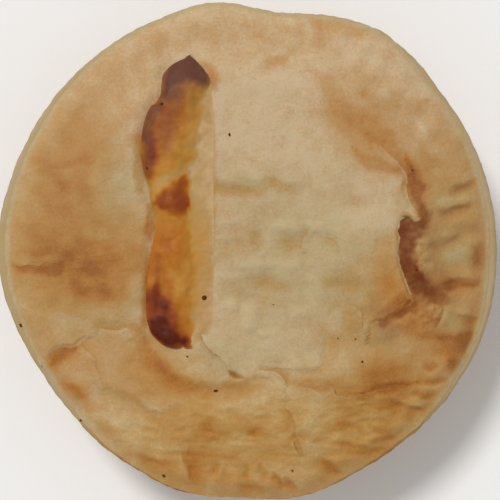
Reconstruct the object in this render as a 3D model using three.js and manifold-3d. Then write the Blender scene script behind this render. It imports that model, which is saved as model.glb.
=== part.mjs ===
// A round single-serve mince and cheese pie, baked and uncut, in three pieces: a tin-baked pastry case,
// a puffed pastry lid pressed onto the case's rim, and a strip of toasted cheese that stands in a slot in
// the lid. Millimetres, +Z up, origin under the middle of the foot. Seen from above with +Y up the page,
// the cheese runs up the left half, and the lid has sunk into a fold along its right side.

import * as THREE from "three";
import { ImprovedNoise } from "three/addons/math/ImprovedNoise.js";
import { mergeVertices } from "three/addons/utils/BufferGeometryUtils.js";
import Module from "manifold-3d";

const { clamp, degToRad, lerp, smoothstep } = THREE.MathUtils;

// Case: a solid cone with a flat foot, a rounded heel and a pressed rim
const RIM_RADIUS = 54.6;
const FOOT_RADIUS = 40;
const WALL_TOP_RADIUS = 48.5;
const SEAM_HEIGHT = 29; // top of the rim, where the lid lies on it
const RIM_DEPTH = 3.2;
const RIM_ROUND = 1.3; // rounding of the rim's outer edge
const RIM_FLARE = 2.2; // the wall turns out into the rim over this width
const HEEL_RADIUS = 5;
const WALL_SWELL = 0.45; // how far the wall swells in and out
const WALL_WAVE = 13; // length of those swells
const WALL_BANDS = 3;
const CASE_SEGMENTS = 108;
const CURVE_STEPS = 2;

// Rim outline: where the hand-trimmed edge swells out of the circle or is cut in, by angle from +X
const RIM_BUMPS = [
  { at: 57, out: 1.7, spread: 12 },
  { at: 83, out: -1.9, spread: 10 },
  { at: 100, out: 0.7, spread: 8 },
  { at: 180, out: 1.0, spread: 17 },
  { at: 215, out: -1.3, spread: 17 },
  { at: 255, out: 1.0, spread: 10 },
  { at: 282, out: 1.2, spread: 10 },
  { at: 340, out: 0.4, spread: 16 },
];

// Lid: thickness at the pressed edge and on the rim, and the puffed middle above that
const LID_EDGE = 1.2;
const LID_RIM = 3.3;
const LID_ROLL = 2.2; // width of the rounded edge
const LEDGE_MEAN = 0.95; // how far the case's rim shows outside the lid
const LEDGE_SWING = 0.75;
const PUFF_RISE = 2.7;
const PUFF_FROM = 4; // the puff starts this far in from the lid's edge and is full at PUFF_TO
const PUFF_TO = 19;
const LID_RINGS = 30;
const RING_CROWDING = 0.75; // 0 spaces the rings evenly, towards 1 they crowd to the edge

// Crimps: finger marks pressed into the rim, deepest on the right
const CRIMP_COUNT = 54;
const CRIMP_DEPTH = 0.5;
const CRIMP_DEEPEST_AT = -12;
const CRIMP_SPREAD = 55;
const CRIMP_LEAST = 0.3; // share of the depth that is left on the far side
const CRIMP_WANDER = 3; // radians by which the marks stray from an even spacing
const CRIMP_LIGHTEST = 0.4; // share of the depth of the mark that is pressed least
const CRIMP_WAVES = 4; // how quickly spacing and pressure change round the rim
const CRIMP_BAND = [1.2, 3, 7, 11]; // in from the edge: starts, is full, is still full, has run out

// Soft swells of the baked sheet, as wavelength and height
const SWELLS = [
  { wave: 15, height: 0.6 },
  { wave: 6, height: 0.3 },
];

// Creases in the lid, as paths seen from above. The lid stands high on the left of a path's direction,
// drops into it within "steep", and climbs out again over "gentle".
const CREASES = [
  {
    name: "sunken fold on the right",
    path: [
      [25, -22], [30.5, -16.5], [35.5, -12.3], [34.3, -5.5], [33.2, 0], [32.8, 5], [34.3, 10], [34, 15],
    ],
    depth: 3.6,
    steep: 1.7,
    gentle: 6.5,
  },
  {
    name: "valley above the fold",
    path: [[34, 13], [32.3, 18.3], [27, 22], [22.5, 28.5], [18.5, 33]],
    depth: 1.3,
    steep: 2.2,
    gentle: 5,
  },
  {
    name: "crease under the cheese",
    path: [
      [-24.5, -18.5], [-21.4, -22.7], [-17, -27.6], [-12, -30.4], [-5.4, -31.5], [1.3, -30.2], [6, -28],
    ],
    depth: 1.3,
    steep: 1.6,
    gentle: 4.5,
  },
  {
    name: "flake over the bottom rim",
    path: [[3.9, -26.7], [8.3, -29.3], [17.8, -30.4], [26, -31.1], [35.4, -28.9]],
    depth: 1.2,
    steep: 1.5,
    gentle: 4,
  },
  {
    name: "split down the bottom rim",
    path: [[8.2, -30], [8.8, -35.5], [10.3, -40], [12, -45.5]],
    depth: 0.8,
    steep: 1.3,
    gentle: 3,
  },
  {
    name: "tear from the slot's corner",
    path: [[-10.2, -18.5], [-6, -23.8], [-4.3, -26.7], [-1.4, -28.2]],
    depth: 0.9,
    steep: 1.3,
    gentle: 2.8,
  },
  {
    name: "flake left of the cheese",
    path: [[-34, -18.4], [-28.5, -17.9], [-23.4, -17.2]],
    depth: 0.9,
    steep: 1.3,
    gentle: 3.2,
  },
  {
    name: "fold at the lower left",
    path: [[-44, -26], [-40.8, -22.7], [-37.3, -21.4], [-33.6, -19.4]],
    depth: 1.2,
    steep: 1.4,
    gentle: 3.5,
  },
  {
    name: "crack at the left edge",
    path: [[-52, -2.9], [-48.8, -3.7], [-45, -2.9], [-41.3, -3.1]],
    depth: 1,
    steep: 1.2,
    gentle: 3,
  },
  {
    name: "dent right of the cheese",
    path: [[-7.5, 13], [-2, 12.6], [3, 14.6], [8, 14.7], [13, 13]],
    depth: 0.5,
    steep: 1.2,
    gentle: 2.4,
  },
];
const CREASE_STEPS = 24;

// Cheese: its two long edges from the near end to the far tip, and the heights of its ridge and low shelf
const CHEESE_LEFT = [
  [-15, -21.2], [-18.6, -19.7], [-21.2, -16.5], [-21.7, -10], [-20.8, 1], [-19.8, 6], [-21, 10.4],
  [-21.4, 14.3], [-22.9, 19], [-22.8, 25], [-21.3, 30], [-18.8, 33], [-17.9, 38], [-14.8, 41.6],
];
const CHEESE_RIGHT = [
  [-12.8, -21.2], [-9.8, -19], [-8.2, -13.4], [-8, 0], [-8, 15], [-8, 26], [-8.7, 34], [-9.8, 38.3],
  [-12.6, 41.8],
];
const SLOT_FLOOR = 31.5;
const SLOT_GAP = 0.4;
const CHEESE_SHELF = 34.2; // the low strip along the slot's right side
const CHEESE_RIDGE = 2.7; // how far the browned ridge stands above the shelf
const RIDGE_SHARE = 0.76; // share of the width that the ridge takes
const RIDGE_SIDE = 0.06; // where on its arch the ridge starts, so that its left side stands up steeply
const CHEESE_LUMP = 0.5;
const CHEESE_LUMP_WAVE = 8;
const CHEESE_ENDS = 0.06; // share of the length over which each end rounds down
const CHEESE_COLUMNS = 12;
const CHEESE_ROWS = 34;

const CASE_DOUGH = new THREE.MeshStandardMaterial({ color: "#b9955f", roughness: 0.8 });
const LID_DOUGH = new THREE.MeshStandardMaterial({ color: "#bf9f70", roughness: 0.7 });
const TOASTED_CHEESE = new THREE.MeshStandardMaterial({ color: "#a8692c", roughness: 0.45 });

const wasm = await Module();
wasm.setup();
const noise = new ImprovedNoise();

// A bell curve of height 1 whose argument is in widths.
const bell = (widths) => Math.exp(-widths * widths);

// Smooth noise from -1 to 1 with the wavelength given, seen from above; "layer" picks one of many patterns.
const noiseAt = (point, wave, layer) => noise.noise(point.x / wave, point.y / wave, layer);

// Turns between two angles in degrees, from -180 to 180.
const turnFrom = (angle, reference) => THREE.MathUtils.euclideanModulo(angle - reference + 180, 360) - 180;

// A geometry with its shared vertices welded, smooth normals and nothing else.
function weld(geometry) {
  geometry.deleteAttribute("normal");
  geometry.deleteAttribute("uv");
  const welded = mergeVertices(geometry);
  welded.computeVertexNormals();
  return welded;
}

function toSolid(geometry) {
  const vertProperties = geometry.getAttribute("position").array;
  const triVerts = new Uint32Array(geometry.index.array);
  return new wasm.Manifold(new wasm.Mesh({ numProp: 3, vertProperties, triVerts }));
}

function toGeometry(solid) {
  const { vertProperties, triVerts } = solid.getMesh();
  const geometry = new THREE.BufferGeometry();
  geometry.setAttribute("position", new THREE.BufferAttribute(vertProperties, 3));
  geometry.setIndex(new THREE.BufferAttribute(triVerts, 1));
  geometry.computeVertexNormals();
  return geometry;
}

// Moves every vertex of a geometry to the place that "moved" gives for it.
function reshape(geometry, moved) {
  const position = geometry.getAttribute("position");
  const point = new THREE.Vector3();
  for (let i = 0; i < position.count; i += 1) {
    moved(point.fromBufferAttribute(position, i));
    position.setXYZ(i, point.x, point.y, point.z);
  }
  return geometry;
}

// Splits the block's squares along the other diagonal in two opposite quarters, so that all four quarters
// of a sheet bent into a disc are alike.
function turnDiagonals(block) {
  const position = block.getAttribute("position");
  for (let i = 0; i < block.index.count; i += 6) {
    const [a, b, d, , c] = block.index.array.subarray(i, i + 6);
    const middleX = position.getX(a) + position.getX(c);
    const middleY = position.getY(a) + position.getY(c);
    if (middleX * middleY < 0) block.index.array.set([a, b, c, a, c, d], i);
  }
  return block;
}

// A sheet with a flat underside: a segmented block whose plan is bent by "plan", topped by "height".
function slab(columns, rows, plan, height, floor) {
  const block = turnDiagonals(new THREE.BoxGeometry(2, 2, 2, columns, rows, 1));
  return weld(
    reshape(block, (point) => {
      const [across, along, isTop] = [(point.x + 1) / 2, (point.y + 1) / 2, point.z > 0];
      plan(point, across, along);
      point.z = isTop ? height(point, across, along) : floor;
    }),
  );
}

// The trimmed edge of the case's rim, as a radius at an angle in degrees.
function rimEdge(angle) {
  return RIM_BUMPS.reduce(
    (radius, bump) => radius + bump.out * bell(turnFrom(angle, bump.at) / bump.spread),
    RIM_RADIUS,
  );
}

// The lid's edge lies inside the rim's: well in on the left and right, close to it at the top and bottom.
function lidEdge(angle) {
  return rimEdge(angle) - LEDGE_MEAN - LEDGE_SWING * Math.cos(2 * degToRad(angle));
}

const angleOf = (point) => THREE.MathUtils.radToDeg(Math.atan2(point.y, point.x));

// Case

// Half of the case's section, from the middle of the foot to the middle of the top.
function caseProfile() {
  const rimUnder = SEAM_HEIGHT - RIM_DEPTH;
  const wallTop = rimUnder - RIM_FLARE;
  const profile = new THREE.Path();
  profile.lineTo(FOOT_RADIUS - HEEL_RADIUS, 0);
  profile.quadraticCurveTo(FOOT_RADIUS, 0, FOOT_RADIUS, HEEL_RADIUS);
  for (let band = 1; band <= WALL_BANDS; band += 1) {
    const share = band / WALL_BANDS;
    profile.lineTo(lerp(FOOT_RADIUS, WALL_TOP_RADIUS, share), lerp(HEEL_RADIUS, wallTop, share));
  }
  profile.quadraticCurveTo(WALL_TOP_RADIUS, rimUnder, WALL_TOP_RADIUS + RIM_FLARE, rimUnder);
  profile.lineTo(RIM_RADIUS - RIM_ROUND, rimUnder);
  profile.quadraticCurveTo(RIM_RADIUS, rimUnder, RIM_RADIUS, SEAM_HEIGHT - RIM_DEPTH / 2);
  profile.quadraticCurveTo(RIM_RADIUS, SEAM_HEIGHT, RIM_RADIUS - RIM_ROUND, SEAM_HEIGHT);
  profile.lineTo(0, SEAM_HEIGHT);
  return profile.getPoints(CURVE_STEPS);
}

function pastryCase() {
  const lathe = new THREE.LatheGeometry(caseProfile(), CASE_SEGMENTS).rotateX(Math.PI / 2);
  const shaped = reshape(lathe, (point) => {
    const radius = Math.hypot(point.x, point.y);
    if (radius === 0) return;
    const rimShare = smoothstep(radius, WALL_TOP_RADIUS, RIM_RADIUS - RIM_ROUND);
    const wallShare = smoothstep(point.z, 0, HEEL_RADIUS) * (1 - rimShare);
    const swell = WALL_SWELL * noiseAt(point, WALL_WAVE, point.z / WALL_WAVE);
    const grown = radius + rimShare * (rimEdge(angleOf(point)) - RIM_RADIUS) + wallShare * swell;
    point.x *= grown / radius;
    point.y *= grown / radius;
  });
  return new THREE.Mesh(weld(shaped), CASE_DOUGH);
}

// Lid

const creaseLines = CREASES.map((crease) => {
  const knots = crease.path.map(([x, y]) => new THREE.Vector2(x, y));
  return { ...crease, line: new THREE.SplineCurve(knots).getPoints(CREASE_STEPS) };
});

// How far a crease sinks the lid at a point: nothing at the crease's two ends, its depth along the middle.
function sinkInto(crease, point) {
  let nearest = { gap: Infinity };
  for (let i = 0; i < CREASE_STEPS; i += 1) {
    const [from, to] = [crease.line[i], crease.line[i + 1]];
    const [stepX, stepY] = [to.x - from.x, to.y - from.y];
    const [offX, offY] = [point.x - from.x, point.y - from.y];
    const share = clamp((offX * stepX + offY * stepY) / (stepX * stepX + stepY * stepY), 0, 1);
    const gap = Math.hypot(offX - share * stepX, offY - share * stepY);
    if (gap < nearest.gap) {
      nearest = { gap, along: (i + share) / CREASE_STEPS, isHigh: stepX * offY - stepY * offX > 0 };
    }
  }
  const runOut = Math.sqrt(Math.sin(Math.PI * nearest.along));
  return crease.depth * runOut * bell(nearest.gap / (nearest.isHigh ? crease.steep : crease.gentle));
}

// Finger marks round the rim, as a rise or a dip.
function crimpAt(angle, inward) {
  const [starts, full, stillFull, ends] = CRIMP_BAND;
  const band = smoothstep(inward, starts, full) * (1 - smoothstep(inward, stillFull, ends));
  const strength = lerp(CRIMP_LEAST, 1, bell(turnFrom(angle, CRIMP_DEEPEST_AT) / CRIMP_SPREAD));
  const bearing = new THREE.Vector2(CRIMP_WAVES, 0).rotateAround(new THREE.Vector2(), degToRad(angle));
  const wander = CRIMP_WANDER * noiseAt(bearing, 1, 0);
  const pressed = lerp(CRIMP_LIGHTEST, 1, 2 * Math.abs(noiseAt(bearing, 1, CRIMP_COUNT / 4)));
  return CRIMP_DEPTH * strength * pressed * band * Math.cos(CRIMP_COUNT * degToRad(angle) + wander);
}

function lidTop(point) {
  const angle = angleOf(point);
  const inward = Math.max(0, lidEdge(angle) - Math.hypot(point.x, point.y));
  const rolled = 1 - Math.min(1, inward / LID_ROLL);
  const rim = lerp(LID_EDGE, LID_RIM, Math.sqrt(1 - rolled * rolled));
  const puff = PUFF_RISE * smoothstep(inward, PUFF_FROM, PUFF_TO);
  const swell = SWELLS.reduce((sum, { wave, height }) => sum + height * noiseAt(point, wave, wave), 0);
  const sunk = creaseLines.reduce((sum, crease) => sum + sinkInto(crease, point), 0);
  const settled = smoothstep(inward, 0, LID_ROLL);
  return SEAM_HEIGHT + rim + puff + crimpAt(angle, inward) + settled * (swell - sunk);
}

// Bends a square grid into a disc: each square ring of the grid becomes a ring that follows the lid's edge.
function ontoDisc(point) {
  const ring = Math.max(Math.abs(point.x), Math.abs(point.y));
  if (ring === 0) return;
  const isSide = Math.abs(point.x) === ring;
  const quarter = isSide ? point.y / point.x : point.x / point.y;
  const turn = isSide ? (Math.PI / 4) * quarter : Math.PI / 2 - (Math.PI / 4) * quarter;
  const angle = turn + ((isSide ? point.x : point.y) < 0 ? Math.PI : 0);
  const crowd = (RING_CROWDING * Math.PI) / 2;
  const radius = (Math.sin(ring * crowd) / Math.sin(crowd)) * lidEdge(THREE.MathUtils.radToDeg(angle));
  point.x = radius * Math.cos(angle);
  point.y = radius * Math.sin(angle);
}

// A block that takes away everything below the seam.
function belowSeam() {
  const block = new THREE.BoxGeometry(4 * RIM_RADIUS, 4 * RIM_RADIUS, SEAM_HEIGHT);
  return weld(block.translate(0, 0, SEAM_HEIGHT / 2));
}

// The sheet is shaped thicker than it is, then trimmed flat at the seam and slotted for the cheese.
function pastryLid() {
  const sheet = slab(2 * LID_RINGS, 2 * LID_RINGS, ontoDisc, lidTop, SEAM_HEIGHT / 2);
  const slot = cheeseStrip(SLOT_GAP, () => 2 * SEAM_HEIGHT);
  const trimmed = toSolid(sheet).subtract(toSolid(belowSeam())).subtract(toSolid(slot));
  return new THREE.Mesh(toGeometry(trimmed), LID_DOUGH);
}

// Cheese

const edgeCurve = (knots) => new THREE.SplineCurve(knots.map(([x, y]) => new THREE.Vector2(x, y)));
const cheeseEdges = { left: edgeCurve(CHEESE_LEFT), right: edgeCurve(CHEESE_RIGHT) };

// The strip between the two edges, grown by a gap on every side, with a top given by "height".
function cheeseStrip(gap, height) {
  const betweenEdges = (point, across, along) => {
    const left = cheeseEdges.left.getPointAt(along);
    const right = cheeseEdges.right.getPointAt(along);
    point.x = lerp(left.x - gap, right.x + gap, across);
    point.y = lerp(left.y, right.y, across) + lerp(-gap, gap, along);
  };
  return slab(CHEESE_COLUMNS, CHEESE_ROWS, betweenEdges, height, SLOT_FLOOR);
}

// A lumpy ridge over the left of the strip and a low shelf along its right, both rounding down at the ends.
function cheeseTop(point, across, along) {
  const overRidge = clamp(across / RIDGE_SHARE, 0, 1);
  const ridge = CHEESE_RIDGE * Math.sqrt(Math.sin(Math.PI * lerp(RIDGE_SIDE, 1, overRidge)));
  const fromEnd = Math.min(along, 1 - along);
  const ends = smoothstep(fromEnd, -CHEESE_ENDS / 3, CHEESE_ENDS);
  const lump = CHEESE_LUMP * noiseAt(point, CHEESE_LUMP_WAVE, SLOT_FLOOR);
  return CHEESE_SHELF + ends * (ridge + lump);
}

// The pie

const pie = new THREE.Group();
const pieces = {
  pastry_case: pastryCase(),
  pastry_lid: pastryLid(),
  cheese_strip: new THREE.Mesh(cheeseStrip(0, cheeseTop), TOASTED_CHEESE),
};
for (const [name, piece] of Object.entries(pieces)) {
  piece.name = name;
  pie.add(piece);
}

export default pie;
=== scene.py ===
# %% [markdown]
# # A mince and cheese pie in browned pastry and toasted cheese
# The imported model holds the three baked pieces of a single-serve pie at their real size: the case that
# the tin shaped, the lid pressed onto its rim, and the strip of cheese in the lid's slot. They could be
# dressed with materials alone, but a crust is known by its folds, flakes and cracks, so each piece gets a
# finer mesh here, laid over the same form. The first cell loads the model, which nothing moves, and keeps
# its box.

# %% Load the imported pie
import math
import re
from collections import namedtuple

import bmesh
import bpy
import numpy as np
from mathutils import Matrix, Vector
from mathutils.bvhtree import BVHTree


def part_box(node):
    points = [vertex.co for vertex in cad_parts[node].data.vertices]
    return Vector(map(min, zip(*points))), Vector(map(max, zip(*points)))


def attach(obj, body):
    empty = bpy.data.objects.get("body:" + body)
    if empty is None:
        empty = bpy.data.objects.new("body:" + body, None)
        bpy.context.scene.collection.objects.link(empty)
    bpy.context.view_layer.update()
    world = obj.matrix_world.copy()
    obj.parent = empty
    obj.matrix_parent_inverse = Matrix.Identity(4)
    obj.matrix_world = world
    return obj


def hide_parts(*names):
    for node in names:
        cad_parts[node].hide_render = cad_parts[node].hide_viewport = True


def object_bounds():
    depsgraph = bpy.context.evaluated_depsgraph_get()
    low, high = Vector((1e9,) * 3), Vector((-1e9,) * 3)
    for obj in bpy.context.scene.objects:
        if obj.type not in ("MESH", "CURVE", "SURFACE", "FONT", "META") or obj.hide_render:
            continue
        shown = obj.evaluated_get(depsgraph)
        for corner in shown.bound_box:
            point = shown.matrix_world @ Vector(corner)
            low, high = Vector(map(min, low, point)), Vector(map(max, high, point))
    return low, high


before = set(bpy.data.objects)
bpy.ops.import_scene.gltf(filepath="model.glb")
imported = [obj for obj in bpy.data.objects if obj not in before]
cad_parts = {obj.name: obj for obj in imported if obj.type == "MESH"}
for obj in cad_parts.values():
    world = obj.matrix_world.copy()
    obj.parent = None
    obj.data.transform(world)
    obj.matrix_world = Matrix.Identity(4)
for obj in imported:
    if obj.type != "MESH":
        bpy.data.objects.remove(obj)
cad_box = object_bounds()
MM = 0.001  # shapes are worked out in millimetres and written to the meshes in metres
print("box of the packed pie, in mm:", [round(side / MM, 1) for side in cad_box[1] - cad_box[0]])

# %% [markdown]
# The heights that every piece shares come from the model: the seam between case and lid, and the floor of
# the cheese's slot. The trimmed edges of the rim and the lid are hand-cut and uneven. They could be drawn
# again as a list of points, but looking in at the model from all round gives the very same edge.

# %% Read heights and edges from the model
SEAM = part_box("pastry_lid")[0].z / MM
SLOT_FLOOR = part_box("cheese_strip")[0].z / MM
LOOK_ABOVE, LOOK_BELOW = 0.6, 1.6  # heights, from the seam, where the lid's and the rim's edges are read
LOOK_EVERY = 0.5  # degrees round the pie
BEARINGS = np.radians(np.arange(-180, 180, LOOK_EVERY))


def outer_edge(node, height):
    """How far out a node's edge lies at a height, for each bearing."""
    surface = BVHTree.FromObject(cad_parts[node], bpy.context.evaluated_depsgraph_get())
    outside = 2 * cad_box[1].length
    edge = []
    for bearing in BEARINGS:
        out = Vector((math.cos(bearing), math.sin(bearing), 0))
        hit = surface.ray_cast(out * outside + Vector((0, 0, height * MM)), -out)[0]
        edge.append(hit.xy.length / MM)
    return np.array(edge)


lid_reach = outer_edge("pastry_lid", SEAM + LOOK_ABOVE)
rim_reach = outer_edge("pastry_case", SEAM - LOOK_BELOW)


def edge_at(reach, bearing):
    """How far out an edge lies at any bearing."""
    return np.interp(bearing, BEARINGS, reach, period=2 * math.pi)


print("seam at", round(SEAM, 1), "mm, lid reaches", lid_reach.min().round(1), "to", lid_reach.max().round(1),
      "mm")

# %% [markdown]
# Baked dough has no sharp rules: it swells, sinks and wrinkles. A bell is a soft bump, a smooth step
# joins two levels, and a swell is smooth noise with a wavelength and a height in millimetres. Blender's
# own noise works on one point at a time, so a version for whole arrays is quicker.

# %% Soft shapes
NOISE_CELLS = 64  # waves after which the noise repeats
NOISE_GAIN = 1.5  # brings the noise's highest places near a swell's height
Swell = namedtuple("Swell", "wave height seed")


def bell(widths):
    """1 in the middle, and almost nothing two widths away."""
    return np.exp(-widths * widths)


def step(value, low, high):
    """Climbs smoothly from 0 to 1 while the value goes from low to high."""
    share = np.clip((value - low) / (high - low), 0, 1)
    return share * share * (3 - 2 * share)


def rolling(swells, x, y):
    """The sum of several swells at some places. Each is gradient noise with its own seed."""
    total = np.zeros(np.shape(x))
    for swell in swells:
        turns = np.random.default_rng(swell.seed).uniform(0, 2 * math.pi, (NOISE_CELLS, NOISE_CELLS))
        column, row = np.floor(x / swell.wave).astype(int), np.floor(y / swell.wave).astype(int)
        right, up = x / swell.wave - column, y / swell.wave - row

        def leaning(i, j):
            turn = turns[(column + i) % NOISE_CELLS, (row + j) % NOISE_CELLS]
            return np.cos(turn) * (right - i) + np.sin(turn) * (up - j)

        ease_right, ease_up = (t**3 * (t * (6 * t - 15) + 10) for t in (right, up))
        west = leaning(0, 0) + ease_up * (leaning(0, 1) - leaning(0, 0))
        east = leaning(1, 0) + ease_up * (leaning(1, 1) - leaning(1, 0))
        total += NOISE_GAIN * swell.height * (west + ease_right * (east - west))
    return total


# %% [markdown]
# Folds, cracks and flake edges are lines drawn on the lid. Each is a smooth curve through a few points.
# What counts for a place on the crust is how far it lies from the line, on which side, and how far along.

# %% Lines on the crust
CURVE_STEPS = 6  # straight steps between two points of a curve


def smooth_line(points):
    """A Catmull-Rom curve through the points, as many short steps."""
    knots = np.array(points, float)
    knots = np.vstack([2 * knots[0] - knots[1], knots, 2 * knots[-1] - knots[-2]])
    t = np.linspace(0, 1, CURVE_STEPS, endpoint=False)[:, None]
    stretches = [
        b + 0.5 * t * (c - a + t * (2 * a - 5 * b + 4 * c - d + t * (3 * (b - c) + d - a)))
        for a, b, c, d in zip(knots, knots[1:], knots[2:], knots[3:])
    ]
    return np.vstack([*stretches, knots[-2]])


def steps_of(line, x, y):
    """For each step of a line: the way right and up to it, the share of the line so far, and the side."""
    for i, (start, end) in enumerate(zip(line, line[1:])):
        run_x, run_y = end - start
        off_x, off_y = x - start[0], y - start[1]
        share = np.clip((off_x * run_x + off_y * run_y) / (run_x**2 + run_y**2), 0, 1)
        left = (run_x * off_y - run_y * off_x) / math.hypot(run_x, run_y)
        yield share * run_x - off_x, share * run_y - off_y, (i + share) / (len(line) - 1), left


def gap_to(line, x, y):
    """How far each place lies from a line."""
    return np.min([np.hypot(right, up) for right, up, _, _ in steps_of(line, x, y)], axis=0)


def along_line(line, share):
    """The place at a share of a line's length."""
    lengths = np.hypot(*np.diff(line, axis=0).T).cumsum()
    shares = np.concatenate([[0], lengths / lengths[-1]])
    return [np.interp(share, shares, line[:, axis]) for axis in (0, 1)]


# %% [markdown]
# Patches of colour have outlines, and what counts there is how far inside a place lies. A line that
# leaves the place towards one side crosses the outline an odd number of times if the place is inside.
# Most outlines are small, so only the places near them are looked at.

# %% Outlines on the crust
def inside(outline, x, y):
    """How far in from a closed outline each place lies, negative outside it."""
    corners = np.vstack([outline, outline[:1]])
    gap, within = np.full(x.shape, np.inf), np.zeros(x.shape, bool)
    for (right, up, _, left), start, end in zip(steps_of(corners, x, y), corners[:, 1], corners[1:, 1]):
        gap = np.minimum(gap, np.hypot(right, up))
        within ^= ((start > y) != (end > y)) & ((left > 0) == (end > start))
    return np.where(within, gap, -gap)


def near(line, reach, x, y):
    """Which places lie in the box round a line, grown by a reach."""
    low, high = line.min(axis=0) - reach, line.max(axis=0) + reach
    return (x > low[0]) & (x < high[0]) & (y > low[1]) & (y < high[1])


# %% [markdown]
# Places on the crust are given in two ways, whether they are hollows, wrinkles or brown. A spot is soft:
# a middle, two half-widths, a tilt and an amount. A patch has a border that the eye can follow: an
# outline, how soft it is, and an amount. Spots add up, and of several patches the strongest counts.

# %% Spots and patches
Spot = namedtuple("Spot", "x y wide tall tilt amount")
Patch = namedtuple("Patch", "amount soft outline")


def spotted(spots, x, y):
    """The sum of several spots at some places."""
    total = np.zeros_like(x)
    for spot in spots:
        turn = math.radians(spot.tilt)
        right, up = x - spot.x, y - spot.y
        across = (right * math.cos(turn) + up * math.sin(turn)) / spot.wide
        along = (up * math.cos(turn) - right * math.sin(turn)) / spot.tall
        total += spot.amount * bell(np.hypot(across, along))
    return total


def patched(patches, x, y):
    """The strongest of several patches at some places."""
    total = np.zeros_like(x)
    for patch in patches:
        outline = np.array(patch.outline)
        close = near(outline, patch.soft, x, y)
        cover = step(inside(outline, x[close], y[close]), -patch.soft, patch.soft)
        total[close] = np.maximum(total[close], patch.amount * cover)
    return total


# %% [markdown]
# Lid and cheese both start as a rolled sheet: a grid whose border is extruded down in a few layers and
# filled underneath, so that it is a closed solid. A plane with a Solidify modifier would close too, but
# here the layer of a vertex stays readable as its depth.

# %% A rolled sheet
def rolled_sheet(columns, rows, layers):
    """A flat closed sheet from -1 to 1, with depths 0 on top and -1, -2 and so on down its side."""
    dough = bmesh.new()
    bmesh.ops.create_grid(dough, x_segments=columns, y_segments=rows, size=1)
    border = [edge for edge in dough.edges if edge.is_boundary]
    for _ in range(layers):
        made = bmesh.ops.extrude_edge_only(dough, edges=border)["geom"]
        lowered = [new for new in made if isinstance(new, bmesh.types.BMVert)]
        bmesh.ops.translate(dough, verts=lowered, vec=(0, 0, -1))
        border = [new for new in made if isinstance(new, bmesh.types.BMEdge) and new.is_boundary]
    bmesh.ops.edgeloop_fill(dough, edges=border)
    bmesh.ops.recalc_face_normals(dough, faces=dough.faces)
    return dough


def places(dough):
    """The x, y and z of every vertex, as three arrays."""
    return np.array([vertex.co for vertex in dough.verts]).T


# %% [markdown]
# When the places of a piece have been worked out, "bake" writes them to a mesh, with any marks on its
# vertices, such as how brown each one is. It makes the mesh an object that rides on the pie, and says
# which piece of the model it replaces.

# %% Finish a piece
SHARPEST_ROUND = math.radians(50)  # edges that turn more than this stay sharp


def bake(dough, name, x, y, z, slot, replaced=(), **marks):
    """Makes a piece of the pie from a bmesh, its vertices' places in millimetres, and their marks."""
    mesh = bpy.data.meshes.new(name)
    dough.to_mesh(mesh)
    dough.free()
    mesh.vertices.foreach_set("co", (np.stack([x, y, z], axis=1) * MM).ravel())
    for mark, amounts in marks.items():
        mesh.attributes.new(mark, "FLOAT", "POINT").data.foreach_set("value", np.clip(amounts, 0, 1))
    mesh.shade_smooth()
    mesh.set_sharp_from_angle(angle=SHARPEST_ROUND)
    piece = bpy.data.objects.new(name, mesh)
    bpy.context.scene.collection.objects.link(piece)
    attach(piece, "root")
    if replaced:
        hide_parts(*replaced)
    print(name, "has", sum(len(face.vertices) - 2 for face in mesh.polygons), "triangles")
    return piece


# %% [markdown]
# The crust's lines were made in three ways: the filling sank and folded the lid, steam tore it, and thin
# leaves lifted and cracked. They could be sculpted, but a line with a few numbers is easier to move or to
# sharpen. All have one section. The crust stands high on the left of the line, with a slight lip, drops
# into it within "steep" millimetres, and climbs out on the right over "gentle" ones. The first run round
# the flap, where the lid sank beside the puffed middle.

# %% Folds round the flap
Crease = namedtuple("Crease", "depth steep gentle path")
CREASES = {
    "edge of the flap": Crease(0.8, 0.65, 3.6, [
        (25.3, -21.4), (26.2, -17.2), (29.9, -15.2), (32.8, -13.4), (35.1, -12.1), (35.8, -11.5),
        (35.6, -10.4), (35, -9), (34.2, -7.2), (33.4, -4.6), (32.6, -2.2), (32.4, 0.2), (32.7, 2.4),
        (32.5, 4.2), (32.7, 5.4), (33.4, 6.5), (34.4, 6.9)]),
    "head of the deep fold": Crease(0.6, 0.6, 3, [
        (33.2, 4.4), (33.2, 5.4), (33.9, 6.5), (34.9, 6.4), (35.9, 5.4), (37.2, 5.8), (37.9, 7.8),
        (38.8, 9.8)]),
    "tail of the deep fold": Crease(0.9, 1.3, 2.6, [
        (45, -13), (41.6, -11.4), (38.4, -9.4), (35.4, -6.4), (34, -3)]),
    "upper edge of the puffed middle": Crease(0.9, 1, 3, [
        (37.6, 6.4), (36.3, 8.4), (34.7, 10.8), (34.4, 13), (34.4, 15.4), (33.2, 18), (30.6, 20.6),
        (27, 23.4)]),
    "ridge of the upper right": Crease(0.3, 1.2, 3, [(30, 20.8), (26, 24.5), (20, 30)]),
}

# %% [markdown]
# Below and beside the cheese the top leaf of the dough tore, flaked or cracked, because steam left there
# through the thinnest crust. Most of these lines are only a few tenths of a millimetre deep, but sharp.

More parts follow.
